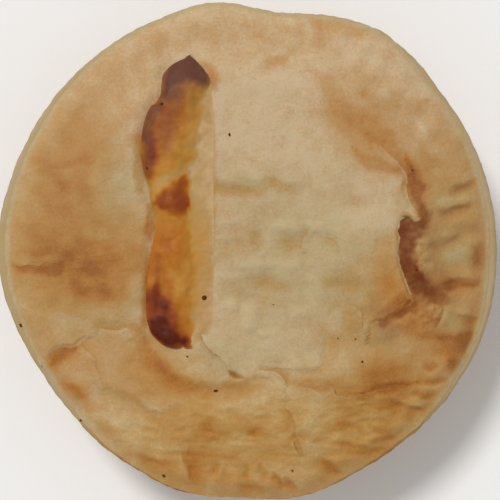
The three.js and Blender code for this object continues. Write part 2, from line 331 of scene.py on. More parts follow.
# %% Tears, flakes and cracks
CREASES |= {
    "crease under the cheese": Crease(0.6, 1.5, 3.4, [
        (-24, -17), (-22.5, -21.6), (-20, -25), (-17, -27.8), (-13, -29.8), (-7.8, -30.6), (-1, -29.8),
        (2.8, -28.2), (6.8, -27.6)]),
    "lifted lip at the bottom": Crease(0.5, 0.4, 2, [
        (8.6, -30.2), (7.4, -28.2), (5.7, -26.7), (1.8, -26.2)]),
    "flake over the bottom rim": Crease(0.35, 0.4, 2.8, [
        (37, -29.2), (30, -30.2), (25.5, -31.5), (22, -32), (19, -31.7), (18.4, -30.4), (16, -31.5),
        (13.8, -30.6), (11.2, -29.8), (7.6, -30)]),
    "split down the bottom rim": Crease(0.2, 0.4, 1.8, [
        (8.6, -29.6), (8.2, -31.5), (8, -34.6), (9.1, -35.6), (9.8, -37.8), (10.1, -40.6),
        (11.2, -42.1), (12, -44.3), (12.9, -45.8)]),
    "torn corner beside the split": Crease(0.25, 0.4, 1, [
        (11.8, -45.2), (10.8, -44.6), (9.9, -42.8), (9.4, -41.4)]),
    "tear from the slot's corner": Crease(0.5, 0.4, 1, [
        (-10.6, -18), (-9.5, -20.5), (-8, -22.3), (-6, -23.8), (-4.4, -26.6)]),
    "flake left of the cheese": Crease(0.45, 0.35, 1.8, [
        (-22.4, -18.3), (-25, -17.9), (-26.7, -17.2), (-28.5, -17.6), (-30.7, -17.6), (-32.5, -17.4),
        (-33, -19.4)]),
    "fold at the lower left": Crease(0.6, 0.7, 2.8, [
        (-46, -26), (-43.5, -23.1), (-42, -21.8), (-40.4, -21.4), (-38.4, -21.4), (-35.6, -19.6),
        (-33, -19)]),
    "crack below that fold": Crease(0.25, 0.4, 1.2, [
        (-31.6, -31), (-32.7, -28), (-33.8, -24.9), (-33.6, -24), (-35.8, -22), (-37.2, -20.4)]),
    "crack at the left edge": Crease(0.4, 0.5, 2.2, [
        (-53.5, -1.8), (-51.6, -3.1), (-49.6, -3.8), (-47.7, -3.3), (-45.9, -3.5), (-44.4, -2.9),
        (-40, -3.6)]),
    "long dip at the lower left": Crease(0.5, 1, 2, [
        (-33, -30.6), (-27, -32.2), (-22, -35.5), (-15, -38.8)]),
}

# %% [markdown]
# The middle is nearly flat. Its lines are the low sides of soft pillows and the edges of leaves that
# lifted.

# %% Lines of the middle
CREASES |= {
    "dent right of the cheese": Crease(0.45, 1.2, 2, [(-8.6, 13.8), (-3.2, 12.8), (3, 12.4)]),
    "edge beyond the dent": Crease(0.3, 0.6, 2, [(2.6, 15.4), (6.8, 14.5), (12, 13.5)]),
    "pillow's left side": Crease(0.14, 0.8, 1, [(3.5, 14), (3.7, 0), (3.2, -15)]),
    "pillow's right side": Crease(0.14, 0.8, 1, [(11.4, 14), (11.8, 0), (11.4, -16)]),
    "lifted leaf in the middle": Crease(0.25, 0.35, 1.2, [(13.2, 4.6), (11.8, 2), (11.2, -1)]),
    "arc in the middle": Crease(0.25, 0.7, 1.6, [(14.6, 3.2), (18.9, 1.8), (20.7, -3.6)]),
    "leaf edge below the middle": Crease(0.3, 0.5, 1.8, [
        (4.1, -25.8), (8, -26), (11.2, -26.2), (13.8, -26), (15.4, -25.3), (15.6, -22.7), (16.9, -19.6)]),
    "leaf edge inside the flap": Crease(0.3, 0.5, 1.6, [(24.6, -17.6), (24, -13.4), (20.4, -12)]),
}

# %% [markdown]
# Fingers closed the rim. The crimps on the right are wide, and the pleats at the lower right lie in rows.

# %% Crimps and pleats of the rim
CREASES |= {
    "first crimp on the right": Crease(0.6, 0.9, 1.6, [(44, 12.3), (47.8, 13.9), (51, 15.4)]),
    "second crimp": Crease(0.65, 0.8, 1.7, [(40.4, 7.7), (44.4, 8.4), (49, 9.8)]),
    "third crimp": Crease(0.55, 0.9, 1.8, [(37.6, 0.6), (43.1, 1.5), (47.6, 3)]),
    "fourth crimp": Crease(0.55, 0.8, 1.6, [(40.6, -8.4), (45.3, -7.2), (52.4, -7.4)]),
    "fifth crimp": Crease(0.65, 0.8, 1.8, [(44, -14.4), (48.6, -15.6), (52.6, -16.4)]),
    "crack inside the fifth crimp": Crease(0.4, 0.4, 1, [(42.8, -12.4), (42, -15.2), (40.6, -18)]),
    "upper pleat at the lower right": Crease(0.6, 0.5, 1.8, [
        (43.4, -28.9), (40.6, -29.7), (38.6, -29.9), (36.6, -29.2)]),
    "hook above that pleat": Crease(0.28, 0.4, 1.6, [
        (41.4, -25.4), (40.4, -26.5), (38.6, -26.3), (37.6, -25)]),
    "second pleat": Crease(0.8, 0.6, 1.6, [
        (29.8, -32.4), (32.4, -33.9), (35.4, -34.9), (37.6, -35.6), (39, -37.6)]),
    "dent between the pleats": Crease(0.4, 0.6, 1.6, [(41.8, -32.4), (38.6, -32.6), (36, -31.6)]),
    "dent below the second pleat": Crease(0.4, 0.5, 1.2, [(31.6, -35.8), (34.4, -36.2), (36.8, -38)]),
    "third pleat": Crease(0.65, 0.8, 1.6, [(26, -42.4), (30, -42), (34, -40.4)]),
    "fourth pleat": Crease(0.7, 0.8, 1.8, [
        (20, -43), (24, -43.6), (27, -44.3), (30, -43.9), (33.4, -42.4)]),
    "fifth pleat": Crease(0.65, 0.8, 1.6, [(14.8, -46), (17.8, -47.6), (20.6, -50)]),
}

# %% [markdown]
# The pinches at the bottom are short and deep, and at the top there are only a wrinkle and two faint
# lines.

# %% Pinches at the bottom, and lines at the top
CREASES |= {
    "pinch at the lower left": Crease(0.6, 0.8, 1.4, [(-24.5, -45.4), (-21.9, -46.3), (-17.9, -47.2)]),
    "first pinch at the bottom": Crease(0.8, 0.6, 2.6, [
        (-11.5, -51.8), (-12.8, -49.4), (-13.5, -46.9), (-14.6, -44.7)]),
    "second pinch": Crease(0.55, 0.5, 1.2, [(-0.5, -47), (-0.4, -49), (-0.5, -51)]),
    "third pinch": Crease(0.55, 0.6, 1.2, [(-2.4, -51.6), (0.6, -52), (3.6, -53.2)]),
    "fourth pinch": Crease(0.8, 0.5, 1.6, [(5.2, -49.4), (6.8, -50.9), (8.1, -52.6)]),
    "last pinch": Crease(0.9, 0.5, 1.4, [(8, -50), (9.2, -51.4), (10.6, -53)]),
    "pinch beside the first": Crease(0.5, 0.5, 1.4, [(-6.2, -46.8), (-7, -49), (-7.2, -51.4)]),
    "pinch before the fourth": Crease(0.6, 0.5, 1.3, [(2, -47.4), (3.4, -49), (4, -51)]),
    "wrinkle at the top": Crease(0.35, 1, 2, [(2, 39.3), (5, 40.2), (8.4, 41.8)]),
    "first line down from the top": Crease(0.2, 0.8, 1.4, [(11, 51.5), (11.6, 47), (12.4, 42)]),
    "second line down from the top": Crease(0.2, 0.8, 1.4, [(15, 52), (15.5, 48), (16.2, 44)]),
}

# %% [markdown]
# A crease's section follows from how far a place lies from the line and on which side. Towards both ends
# the crease runs out softly, as a fold does where the dough still holds.

# %% The section of a crease
LIP_SHARE, LIP_PLACE = 0.2, 2  # the lip's height, as a share of the depth, and its place in steep widths
FACING = 0.92  # a place belongs to a step's side if it lies nearly square to the step
BELL_REACH = 3  # widths beyond which a bell is as good as nothing


def sunk_by(crease, x, y):
    """How far a crease lowers the crust."""
    line = smooth_line(crease.path)
    close = near(line, BELL_REACH * max(crease.steep, crease.gentle), x, y)
    drop, lip = np.zeros(close.sum()), np.zeros(close.sum())
    for right, up, along, left in steps_of(line, x[close], y[close]):
        gap = np.hypot(right, up)
        is_gentle = -left > FACING * gap
        there = crease.depth * np.sqrt(np.sin(math.pi * along))
        drop = np.maximum(drop, there * bell(gap / np.where(is_gentle, crease.gentle, crease.steep)))
        lip = np.maximum(lip, there * (left > FACING * gap) * bell(gap / crease.steep - LIP_PLACE))
    sunk = np.zeros_like(x)
    sunk[close] = drop - LIP_SHARE * lip
    return sunk


# %% [markdown]
# The lines shouldn't look ruled, so the crust is read at places that wander by up to half a millimetre.
# Where creases meet, the deepest counts and the others add a little, as folds do in real dough. Where the
# lid tore through there are two holes with an outline. One small swelling hangs over the deep fold's
# head, and another stands between two pinches.

# %% Sink the creases
WANDER_X, WANDER_Y = [Swell(2.4, 0.4, 11)], [Swell(2.4, 0.4, 12)]
ADDED_SHARE = 0.3
TEAR_HOLE = [(-4.7, -26.4), (-3.4, -26.7), (-1.3, -28), (-3, -28.2), (-4.3, -27.6)]
FLAP_TICK = [(26.4, -16.5), (25.2, -20.4), (25.5, -21), (26.6, -17.4)]
HOLES = [Patch(0.35, 0.4, TEAR_HOLE), Patch(0.6, 0.4, FLAP_TICK)]
SWELLINGS = [Spot(36, 7.6, 1, 1.6, 0, 0.5), Spot(-7.2, -49.6, 0.9, 3, -24, 0.5)]


def strayed(x, y):
    """The places where the crust's lines and borders are read."""
    return x + rolling(WANDER_X, x, y), y + rolling(WANDER_Y, x, y)


def sunk_at(x, y):
    """How far all creases, holes and swellings together lower the crust."""
    stray_x, stray_y = strayed(x, y)
    total = patched(HOLES, stray_x, stray_y)
    for crease in CREASES.values():
        drop = sunk_by(crease, stray_x, stray_y)
        total = np.maximum(total, drop) + ADDED_SHARE * np.minimum(total, drop)
    return total - spotted(SWELLINGS, x, y)


# %% [markdown]
# The middle lies on the filling like a quilt. Noise alone would make it look the same all over, so its
# larger pillows and dents are placed one by one, and so are a few plateaus, where a leaf of the dough
# lifted and shows its edge. Noise fills in between. One more low ridge runs down the upper right rim.

# %% The quilted middle
QUILTED = [Spot(11, -5, 20, 19, 0, 1), Spot(-28, -14, 8, 12, 0, 0.5)]
QUILT_SWELLS = [Swell(6.4, 0.22, 27), Swell(2.9, 0.12, 28)]
PILLOWS = [
    Spot(6.6, 5.2, 3, 1.3, 0, 0.2), Spot(-3.6, 10.8, 4.6, 0.8, -5, 0.3), Spot(15, 5, 1.6, 1.3, 0, 0.3),
    Spot(4, -3.4, 7.6, 1.3, 0, 0.2), Spot(0.2, -14.8, 1.8, 2.8, 0, 0.2),
    Spot(11.4, -14.4, 2.8, 1.8, -5, 0.2), Spot(24.4, 6, 6, 3, 0, 0.3), Spot(19.6, 3, 1, 3, 25, 0.3),
    Spot(-4, 6, 3, 1, 0, 0.3), Spot(-4.4, -6, 2.6, 1, 0, 0.3)]
DENTS = [
    Spot(3.9, -7.4, 5, 1.5, -8, -0.35), Spot(8.3, 1.4, 2.2, 1.7, 0, -0.3),
    Spot(1.2, 1.8, 1.2, 2.4, 0, -0.25), Spot(22.2, 10.1, 3.4, 2, -15, -0.4),
    Spot(20.4, -7.8, 4.4, 1.4, 0, -0.3), Spot(-3, 1, 4, 1, 0, -0.3),
    Spot(0.5, -10.6, 5, 0.8, -5, -0.25), Spot(20.4, -20, 3.6, 1.8, 0, -0.3)]
RIM_RIDGE = Spot(38.3, 25.2, 0.9, 4, 27, 0.35)
PLATEAUS = [
    Patch(0.22, 1, [(3, 6.2), (11.6, 6), (11.6, 4), (5, 3.5), (4.6, -0.9), (3, -0.9)]),
    Patch(0.22, 1.2, [
        (-2.9, -2.2), (11.6, -2.4), (11.8, -7), (10.8, -7), (10.6, -4.8), (4, -4.2), (-2.9, -4.4)]),
    Patch(0.3, 0.8, [(-1.4, -12.6), (1.9, -12.4), (1.9, -18), (-1, -17.6)]),
    Patch(0.26, 0.7, [(-7.1, -11.2), (-2.5, -11.6), (-2.6, -13), (-6.8, -13.2)]),
    Patch(0.32, 0.6, [(1.7, -17.4), (5.4, -18), (5.4, -19.2), (1.9, -19)]),
    Patch(0.24, 0.9, [(9, -12.6), (13.2, -13), (13, -15), (9.4, -14.6)]),
    Patch(0.26, 0.8, [(12.6, 5.8), (16, 5.8), (16, 4), (13.4, 3.6)])]


def puffed_at(x, y):
    """How far the pillows and plateaus raise the crust."""
    return spotted(PILLOWS + DENTS + [RIM_RIDGE], x, y) + patched(PLATEAUS, *strayed(x, y))


# %% [markdown]
# The steamy bank of the deep fold is crumbly. On the middle and at the bottom run rows of fine wrinkles,
# where the sheet dried and shrank. At the bottom the top leaf has flaked: rising noise that falls back at
# every whole step makes thin leaves, one over the other. They show in some places only.

# %% Crumbs, wrinkles and leaves
CRUMBLY = [
    Spot(37.6, 1.4, 1.8, 2.6, 12, 0.8), Spot(38.6, -3.4, 2, 2.6, 12, 0.7), Spot(37, -14.6, 4, 2.4, 0, 0.9),
    Spot(41, -13.6, 3, 2, 0, 0.7)]
CRUMB_SWELLS = [Swell(1.7, 0.46, 21), Swell(0.9, 0.26, 22)]
WRINKLED = [
    Spot(2, -2, 10, 15, 0, 0.4), Spot(-4, -40, 22, 8, 0, 1.7), Spot(26, -38, 12, 8, 30, 1.4),
    Spot(31, -17.5, 5, 2.6, 30, 0.6)]
WRINKLE_SWELLS, WRINKLE_STRETCH = [Swell(2.3, 0.38, 23), Swell(1.2, 0.18, 29)], 2.8
FLAKY = [
    Spot(0, -40, 22, 9, 0, 1), Spot(26, -36, 12, 8, 35, 1), Spot(-36, -28, 8, 6, -40, 0.6),
    Spot(-42, -5, 9, 6, 0, 0.4)]
LEAF_SWELLS, LEAF_STRETCH = [Swell(7, 1.2, 24), Swell(2.2, 0.35, 25)], 3
LEAF_RUN, LEAF_THICKNESS, LEAF_EDGE = 4.2, 0.3, 0.16  # a leaf's width, thickness and falling share
LEAF_SHOWS, LEAF_SHOWING = [Swell(8, 1, 26)], (-0.4, 0.5)


def flaking_at(x, y):
    """How far crumbs, quilting, wrinkles and leaves raise the crust."""
    rise = y / LEAF_RUN + rolling(LEAF_SWELLS, x / LEAF_STRETCH, y)
    rise = rise - np.floor(rise)
    leaves = LEAF_THICKNESS * (rise - step(rise, 1 - LEAF_EDGE, 1))
    leaves *= step(rolling(LEAF_SHOWS, x, y), *LEAF_SHOWING)
    crumbs = spotted(CRUMBLY, x, y) * rolling(CRUMB_SWELLS, x, y)
    crumbs += spotted(QUILTED, x, y) * rolling(QUILT_SWELLS, x, y)
    wrinkles = -spotted(WRINKLED, x, y) * abs(rolling(WRINKLE_SWELLS, x / WRINKLE_STRETCH, y))
    return crumbs + wrinkles + spotted(FLAKY, x, y) * leaves


# %% [markdown]
# Round the rim, fingers pressed lid and case together. The marks are unevenly spaced and pressed, deepest
# on the right, so one wave round the rim is made to stray and to come and go.

# %% Press the crimps
CRIMP_COUNT, CRIMP_DEPTH, CRIMP_DEEPEST = 54, 0.3, math.radians(-12)
CRIMP_STARTS, CRIMP_ENDS = (1.2, 3), (6, 11)  # ways in from the edge where crimps start and fade
CRIMP_STRAY, CRIMP_PRESS = [Swell(0.3, 3, 31)], [Swell(0.22, 1.1, 32)]  # on a rim with a radius of 1
CRIMP_LEAST = 0.35


def crimps_at(bearing, inward):
    """How far the crimps raise the rim or, where negative, lower it."""
    band = step(inward, *CRIMP_STARTS) * (1 - step(inward, *CRIMP_ENDS))
    strength = CRIMP_LEAST + (1 - CRIMP_LEAST) * step(np.cos(bearing - CRIMP_DEEPEST), 0, 1)
    round_x, round_y = np.cos(bearing), np.sin(bearing)
    pressed = CRIMP_LEAST + abs(rolling(CRIMP_PRESS, round_x, round_y))
    wave = np.cos(CRIMP_COUNT * bearing + rolling(CRIMP_STRAY, round_x, round_y))
    return CRIMP_DEPTH * band * strength * pressed * wave


# %% [markdown]
# The cheese lies in a slot whose outline is two gentle curves. On the left, where the ridge of cheese
# swelled, the pastry leans down to the slot as a shoulder.

# %% The slot's outline
CHEESE_LEFT = [
    (-15, -21.2), (-18.6, -20.2), (-21.2, -17.4), (-22, -11), (-21.2, -2), (-20, 5), (-20.9, 10.4),
    (-21.8, 14.3), (-23, 19), (-22.9, 25), (-21.5, 30), (-19, 33), (-18.2, 38), (-13.2, 42.1)]
CHEESE_RIGHT = [
    (-12.6, -21.2), (-9.8, -19), (-8.2, -13.4), (-8, 0), (-8, 15), (-8, 26), (-8.4, 34), (-9.2, 37.6),
    (-12.9, 42.2)]
SHOULDER_DEPTH, SHOULDER_WIDTH = 0.9, 1.8
SHOULDER_SIDE = (12, 20)  # how far left of the pie's middle it sets in and is full

left_edge, right_edge = smooth_line(CHEESE_LEFT), smooth_line(CHEESE_RIGHT)
slot_outline = np.vstack([right_edge, left_edge[::-1]])
print("slot of", np.ptp(slot_outline, axis=0).round(1), "mm")


def shoulder_at(x, into_slot):
    """How far the shoulder lowers the crust beside the slot."""
    return SHOULDER_DEPTH * bell(np.minimum(into_slot, 0) / SHOULDER_WIDTH) * step(-x, *SHOULDER_SIDE)


# %% [markdown]
# Now the height of the crust at any place: an edge pressed thin, the rim, the puffed middle, blisters and
# grain, and everything from above. It is one function, because the cheese has to lie level with the crust
# beside it, and the torn leaves on it.

# %% The height of the crust
Crust = namedtuple("Crust", "height inward into_slot sunken puffed flaked")
LID_LIP, LID_RIM, LID_ROLL = -0.15, 2.9, 4.6  # heights of the edge and the rim, and the way between
PUFF_RISE, PUFF_FROM, PUFF_TO = 3.1, 3, 19  # how far the middle puffed up, between two ways in
BLISTERS = [Swell(15, 0.5, 1), Swell(6, 0.2, 2)]
GRAINS = [Swell(2.6, 0.12, 3), Swell(1.2, 0.06, 4)]


def crust_at(x, y):
    """The crust before the slot is cut: its height, how far in it lies, and what shaped it."""
    bearing = np.arctan2(y, x)
    inward = np.maximum(0, edge_at(lid_reach, bearing) - np.hypot(x, y))
    thickness = LID_LIP + (LID_RIM - LID_LIP) * step(inward, -LID_ROLL / 4, LID_ROLL)
    into_slot = inside(slot_outline, x, y)
    sunken, puffed, flaked = sunk_at(x, y), puffed_at(x, y), flaking_at(x, y)
    shape = thickness + PUFF_RISE * step(inward, PUFF_FROM, PUFF_TO) + crimps_at(bearing, inward)
    relief = rolling(BLISTERS + GRAINS, x, y) + puffed + flaked - sunken - shoulder_at(x, into_slot)
    height = SEAM + shape + step(inward, 0, LID_ROLL / 2) * relief
    return Crust(height, inward, into_slot, sunken, puffed, flaked)


# %% [markdown]
# The lid is the piece that the eye rests on. A grid of squares bent into a disc suits it: every square
# ring of the grid becomes a ring that follows the lid's own edge, so there is no pole with slivers in the
# middle, as a spun disc would have.

# %% Lay the lid's sheet over its disc
LID_CELLS, LID_LAYERS = 300, 2

lid = rolled_sheet(LID_CELLS, LID_CELLS, LID_LAYERS)
u, v, depth = places(lid)
lid_layer = np.round(-depth)
ring = np.maximum(abs(u), abs(v))
faces_side = abs(u) >= abs(v)
long_way, cross_way = np.where(faces_side, u, v), np.where(faces_side, v, u)
quarter = np.divide(cross_way, long_way, out=np.zeros_like(u), where=ring > 0) * math.pi / 4
lid_bearing = np.where(faces_side, quarter, math.pi / 2 - quarter) + np.where(long_way < 0, math.pi, 0)
lid_rim = edge_at(lid_reach, lid_bearing)
lid_inward = (1 - ring) * lid_rim
lid_x, lid_y = ring * lid_rim * np.cos(lid_bearing), ring * lid_rim * np.sin(lid_bearing)

# %% [markdown]
# The lid drops into the slot over about a millimetre. Fingers pressed its edge into the rim, so it ends a
# little below the rim's top, and the knife left it ragged.

# %% Shape the lid
SLOT_EDGE = (-0.3, 0.6)
EDGE_RAGGED, PRESSED_IN = [Swell(1.6, 0.14, 41), Swell(6, 0.3, 42)], 0.5

lid_crust = crust_at(lid_x, lid_y)
lid_top = lid_crust.height + step(lid_crust.into_slot, *SLOT_EDGE) * (SLOT_FLOOR - lid_crust.height)
lid_z = lid_top + (SEAM - PRESSED_IN - lid_top) * lid_layer / LID_LAYERS
lid_grown = 1 + rolling(EDGE_RAGGED, lid_x, lid_y) * (1 - step(lid_inward, 0, LID_ROLL / 2)) / lid_rim
print(len(CREASES), "creases, the deepest", lid_crust.sunken.max().round(2), "mm")

# %% [markdown]
# An oven browns what is dry, thin and high, and leaves what steam keeps moist. So the pale middle of the
# lid, over the filling, is separate from the golden rim. Where each pie took its colour is chance, and
# this one's patches are placed one by one, with their borders made to wander. First the soft ones, from the
# middle round by the left to the bottom.

# %% Where the oven browned the left and the bottom
BROWNED = {
    "middle": Spot(11, -4.5, 22, 24, 0, 0.12),
    "left cheek": Spot(-41, 5, 15, 23, 0, 0.56),
    "darkest on the left cheek": Spot(-41, -1, 8, 5.5, -10, 0.36),
    "beside the slot": Spot(-31, -7, 9, 6, 0, 0.46),
    "between cheek and slot": Spot(-28, 4, 6, 7, 0, 0.26),
    "upper left": Spot(-35, 25, 14, 11, 45, 0.27),
    "left of the slot's head": Spot(-24, 40, 12, 7, 20, 0.12),
    "lower left rim": Spot(-43, -25, 11, 8, -50, 0.34),
    "low on the left rim": Spot(-37.6, -32, 3.6, 2.4, -45, 0.34),
    "below the slot, left": Spot(-23, -27, 12, 7, -40, 0.4),
    "bottom": Spot(-4, -51, 40, 11, 0, 0.43),
    "above the bottom rim": Spot(0, -36, 14, 5, 0, 0.26),
    "orange patch at the bottom": Spot(-10.5, -42, 5.5, 5, 0, 0.29),
    "small orange spot": Spot(-0.6, -38.8, 1.6, 0.9, 0, 0.4),
}

# %% [markdown]
# On the right the lid is lower, and fat ran there, so more of it browned. Within the brown some places
# stayed paler.

# %% Where it browned the right and the top, and what stayed pale
BROWNED |= {
    "bottom right": Spot(28, -35, 12, 9, 35, 0.42),
    "above the bottom right": Spot(29, -27.5, 8, 5, 15, 0.24),
    "right rim": Spot(48, -2, 9, 26, 0, 0.46),
    "lower right": Spot(42, -19, 11, 11, 0, 0.4),
    "corner of the flap": Spot(32, -8, 4, 6, 10, 0.24),
    "inside the flap": Spot(25, -12, 6, 8, 0, 0.26),
    "right of the valley above": Spot(41, 16, 5, 8, 0, 0.3),
    "right of the slot": Spot(-4.6, 4, 3.6, 12, 0, 0.16),
    "upper right": Spot(25, 26, 10, 8, -40, 0.3),
    "streak down the upper right": Spot(19, 30, 3.6, 8, 10, 0.14),
    "high fleck in the upper right": Spot(24, 34, 1.4, 0.9, 0, 0.18),
    "middle fleck in the upper right": Spot(27.2, 28.4, 1.8, 1.2, 0, 0.16),
    "low fleck in the upper right": Spot(30.6, 25.2, 1.8, 1.5, 0, 0.2),
    "upper right rim": Spot(36, 27, 8, 10, 35, 0.13),
    "top": Spot(0, 48, 44, 7, 0, 0.18),
    "leaf below the middle": Spot(13, -29, 9, 1.8, -6, 0.2),
    "below the flap": Spot(18, -20, 7, 8, 0, 0.1),
    # painted shadow that the flap casts, browner here
    "painted shadow under the flap": Spot(28.5, -18.6, 2.4, 3.2, -30, 0.3),
    "below the flap's tip": Spot(33.4, -17, 4, 2.6, 0, 0.26),
    "lowest on the right rim": Spot(46, -21, 4, 4, 0, 0.24),
    "under the slot": Spot(-10, -24, 8, 4, -20, 0.1),
    "crumbs below the deep fold": Spot(38, -14.6, 4, 3, 0, 0.15),
    "edge of the puffed middle": Spot(33, 14, 2, 4, 0, 0.25),
    "dent beside the cheese": Spot(-1, 12.8, 8, 1.5, -3, 0.14),
    "before the deep fold": Spot(25.6, 4, 5, 3, 0, 0.14),
}
PALE = {
    "beside the slot's shoulder": Spot(-28.2, 14.6, 5, 7, 0, 0.18),
    "golden part of the left cheek": Spot(-33, 3, 4, 2.2, 0, 0.24),
    "beside the slot, low": Spot(-25.4, -7.6, 2.2, 2.4, 0, 0.26),
    "below the left cheek": Spot(-36, -15, 10, 4, 0, 0.1),
    "right bank of the deep fold": Spot(45.4, -2.4, 2.4, 3, 0, 0.35),
    "sheet right of the split": Spot(13.4, -40, 3.4, 5.6, 0, 0.03),
    "first crimp": Spot(44.8, 11.2, 3.6, 1.2, 14, 0.16),
    "fifth crimp": Spot(45, -14.6, 4, 3, 0, 0.3),
}
print(len(BROWNED), "browned places and", len(PALE), "pale ones")

# %% [markdown]
# Moist dough is greener than dry dough, most of all over the filling. Where the brush left more egg, the
# crust is more golden. A few specks in the upper right are dark.

# %% Moist, golden and flecked places
MOIST = {
    "right rim": Spot(45, 8, 7, 14, 0, 0.6),
    "left cheek": Spot(-42, 5, 12, 20, 0, 0.4),
    "middle": Spot(11, -4.5, 21, 22, 0, 1),
    "flap": Spot(24, -9, 4, 7, 0, 0.2),
    "golden flap": Spot(32, -8, 4, 7, 0, -0.4),
    "dent beside the cheese": Spot(-1, 12.8, 8, 2, -3, 0.6),
    "beside the slot's shoulder": Spot(-28, 14, 5, 7.6, 0, 0.8),
    "below the left cheek": Spot(-36, -15, 10, 4.5, 0, 0.55),
    "left of the slot's foot": Spot(-26, -12, 3, 6, 0, 0.45),
    "under the slot": Spot(-6, -23.4, 6.6, 5.4, -15, 0.8),
    "first crimp": Spot(44.5, 11, 4.5, 1.6, 12, 0.6),
    "third crimp": Spot(45.4, -2.2, 2.8, 3.6, 0, 1),
    "fifth crimp": Spot(45, -14.6, 4, 3.4, 0, 0.9),
    "bank of the deep fold": Spot(40, -2, 3, 7, 0, 0.8),
    # moist, and darker as the painted shadow that the flap casts
    "painted shadow under the flap": Spot(28.5, -18.6, 2.6, 3.4, -30, 1),
    "sheet right of the split": Spot(13.4, -40, 3.4, 5.6, 0, 0.15),
    "long dip at the lower left": Spot(-27, -33, 6, 1.3, -22, 0.8),
    "knob above the deep fold": Spot(35.2, 8.2, 2, 2.2, 0, 0.8),
}
GOLDEN = {
    "bottom": Spot(-2, -42, 36, 14, 0, 1),
    "bottom right": Spot(27, -34, 12, 10, 35, 0.7),
    "left cheek": Spot(-38, -4, 12, 13, 0, 0.9),
    "flap": Spot(31, -9, 5, 8, 0, 0.7),
    "valley under the cheese": Spot(-17, -26, 9, 5, -35, 0.5),
}
FLECKS = [
    Spot(18.8, 29.6, 0.5, 0.5, 0, 0.25), Spot(24.4, 28.1, 0.5, 0.6, 0, 0.2),
    Spot(25.6, 25.2, 0.5, 0.5, 0, 0.2), Spot(24.7, 33.6, 0.9, 0.5, 20, 0.2),
    Spot(27.6, 31.1, 0.6, 0.5, 0, 0.15), Spot(32.6, 31.3, 0.6, 0.5, 0, 0.2),
    Spot(38.8, 32.6, 0.6, 0.5, 0, 0.2), Spot(34.1, 19.5, 0.8, 0.6, 0, 0.2)]
print(len(MOIST), "moist places,", len(GOLDEN), "golden ones and", len(FLECKS), "flecks")

# %% [markdown]
# Patches with a border that the eye can follow get an outline. Most lie in the shade of a fold, where fat
# ran together and fried the dough, and their brown there is partly painted shade. The flap and the deep
# fold beside it have the strongest.

# %% Stains and painted shade round the flap and the deep fold
STAINED_AND_SHADED = {
    "flap's right edge": Patch(0.42, 0.5, [
        (32, 4.6), (32.8, 4.4), (33, 0), (33.6, -3), (34.6, -6.4), (33.9, -6.4), (32.6, -3), (32, 0)]),
    "flap's fried edge": Patch(0.5, 1.6, [
        (27, -16), (30, -11), (33, -8.6), (34.6, -8.8), (35.8, -11.8), (31, -14.4)]),
    "golden flap": Patch(0.24, 2.2, [
        (27.6, 2), (31.6, 4.4), (32.6, 0), (33.8, -5), (35.6, -11.6), (31, -14.2), (27, -16),
        (25.4, -12), (27.4, -5)]),
    "flap's lower edge": Patch(0.75, 1, [
        (27.8, -15.4), (32.2, -12.7), (35.5, -10.7), (36.2, -12.2), (33, -14.6), (28.6, -17)]),
    "hollow before the flap": Patch(0.12, 1.3, [
        (16, -6.6), (24.6, -6.2), (25.4, -9), (20, -9.4), (16.4, -8.6)]),
    "leaf inside the flap": Patch(0.12, 0.5, [
        (20.6, -12.2), (23.6, -13), (24.4, -17.2), (22.4, -18.4), (20, -16)]),
    "foot of that leaf": Patch(0.06, 0.9, [(16.6, -18.6), (23.6, -18), (23.4, -21.4), (17.6, -22)]),
    "edge round the deep fold's head": Patch(0.45, 0.5, [
        (32.6, 7.2), (33.4, 8.4), (34.8, 8.2), (35.6, 7), (34.8, 6.8), (33.6, 7.4)]),
    "valley above the deep fold": Patch(0.6, 1.4, [
        (34, 20.6), (35.4, 19.6), (36.6, 16), (38.6, 14), (37.4, 11), (39, 7.6), (39, 4.6), (37.6, 6),
        (36.4, 9.4), (35, 12), (35, 16)]),
    "right bank of the deep fold": Patch(0.3, 2, [
        (38, 6), (41, 4), (42, -4), (44, -8), (42, -12), (38, -8), (37, 0)]),
}
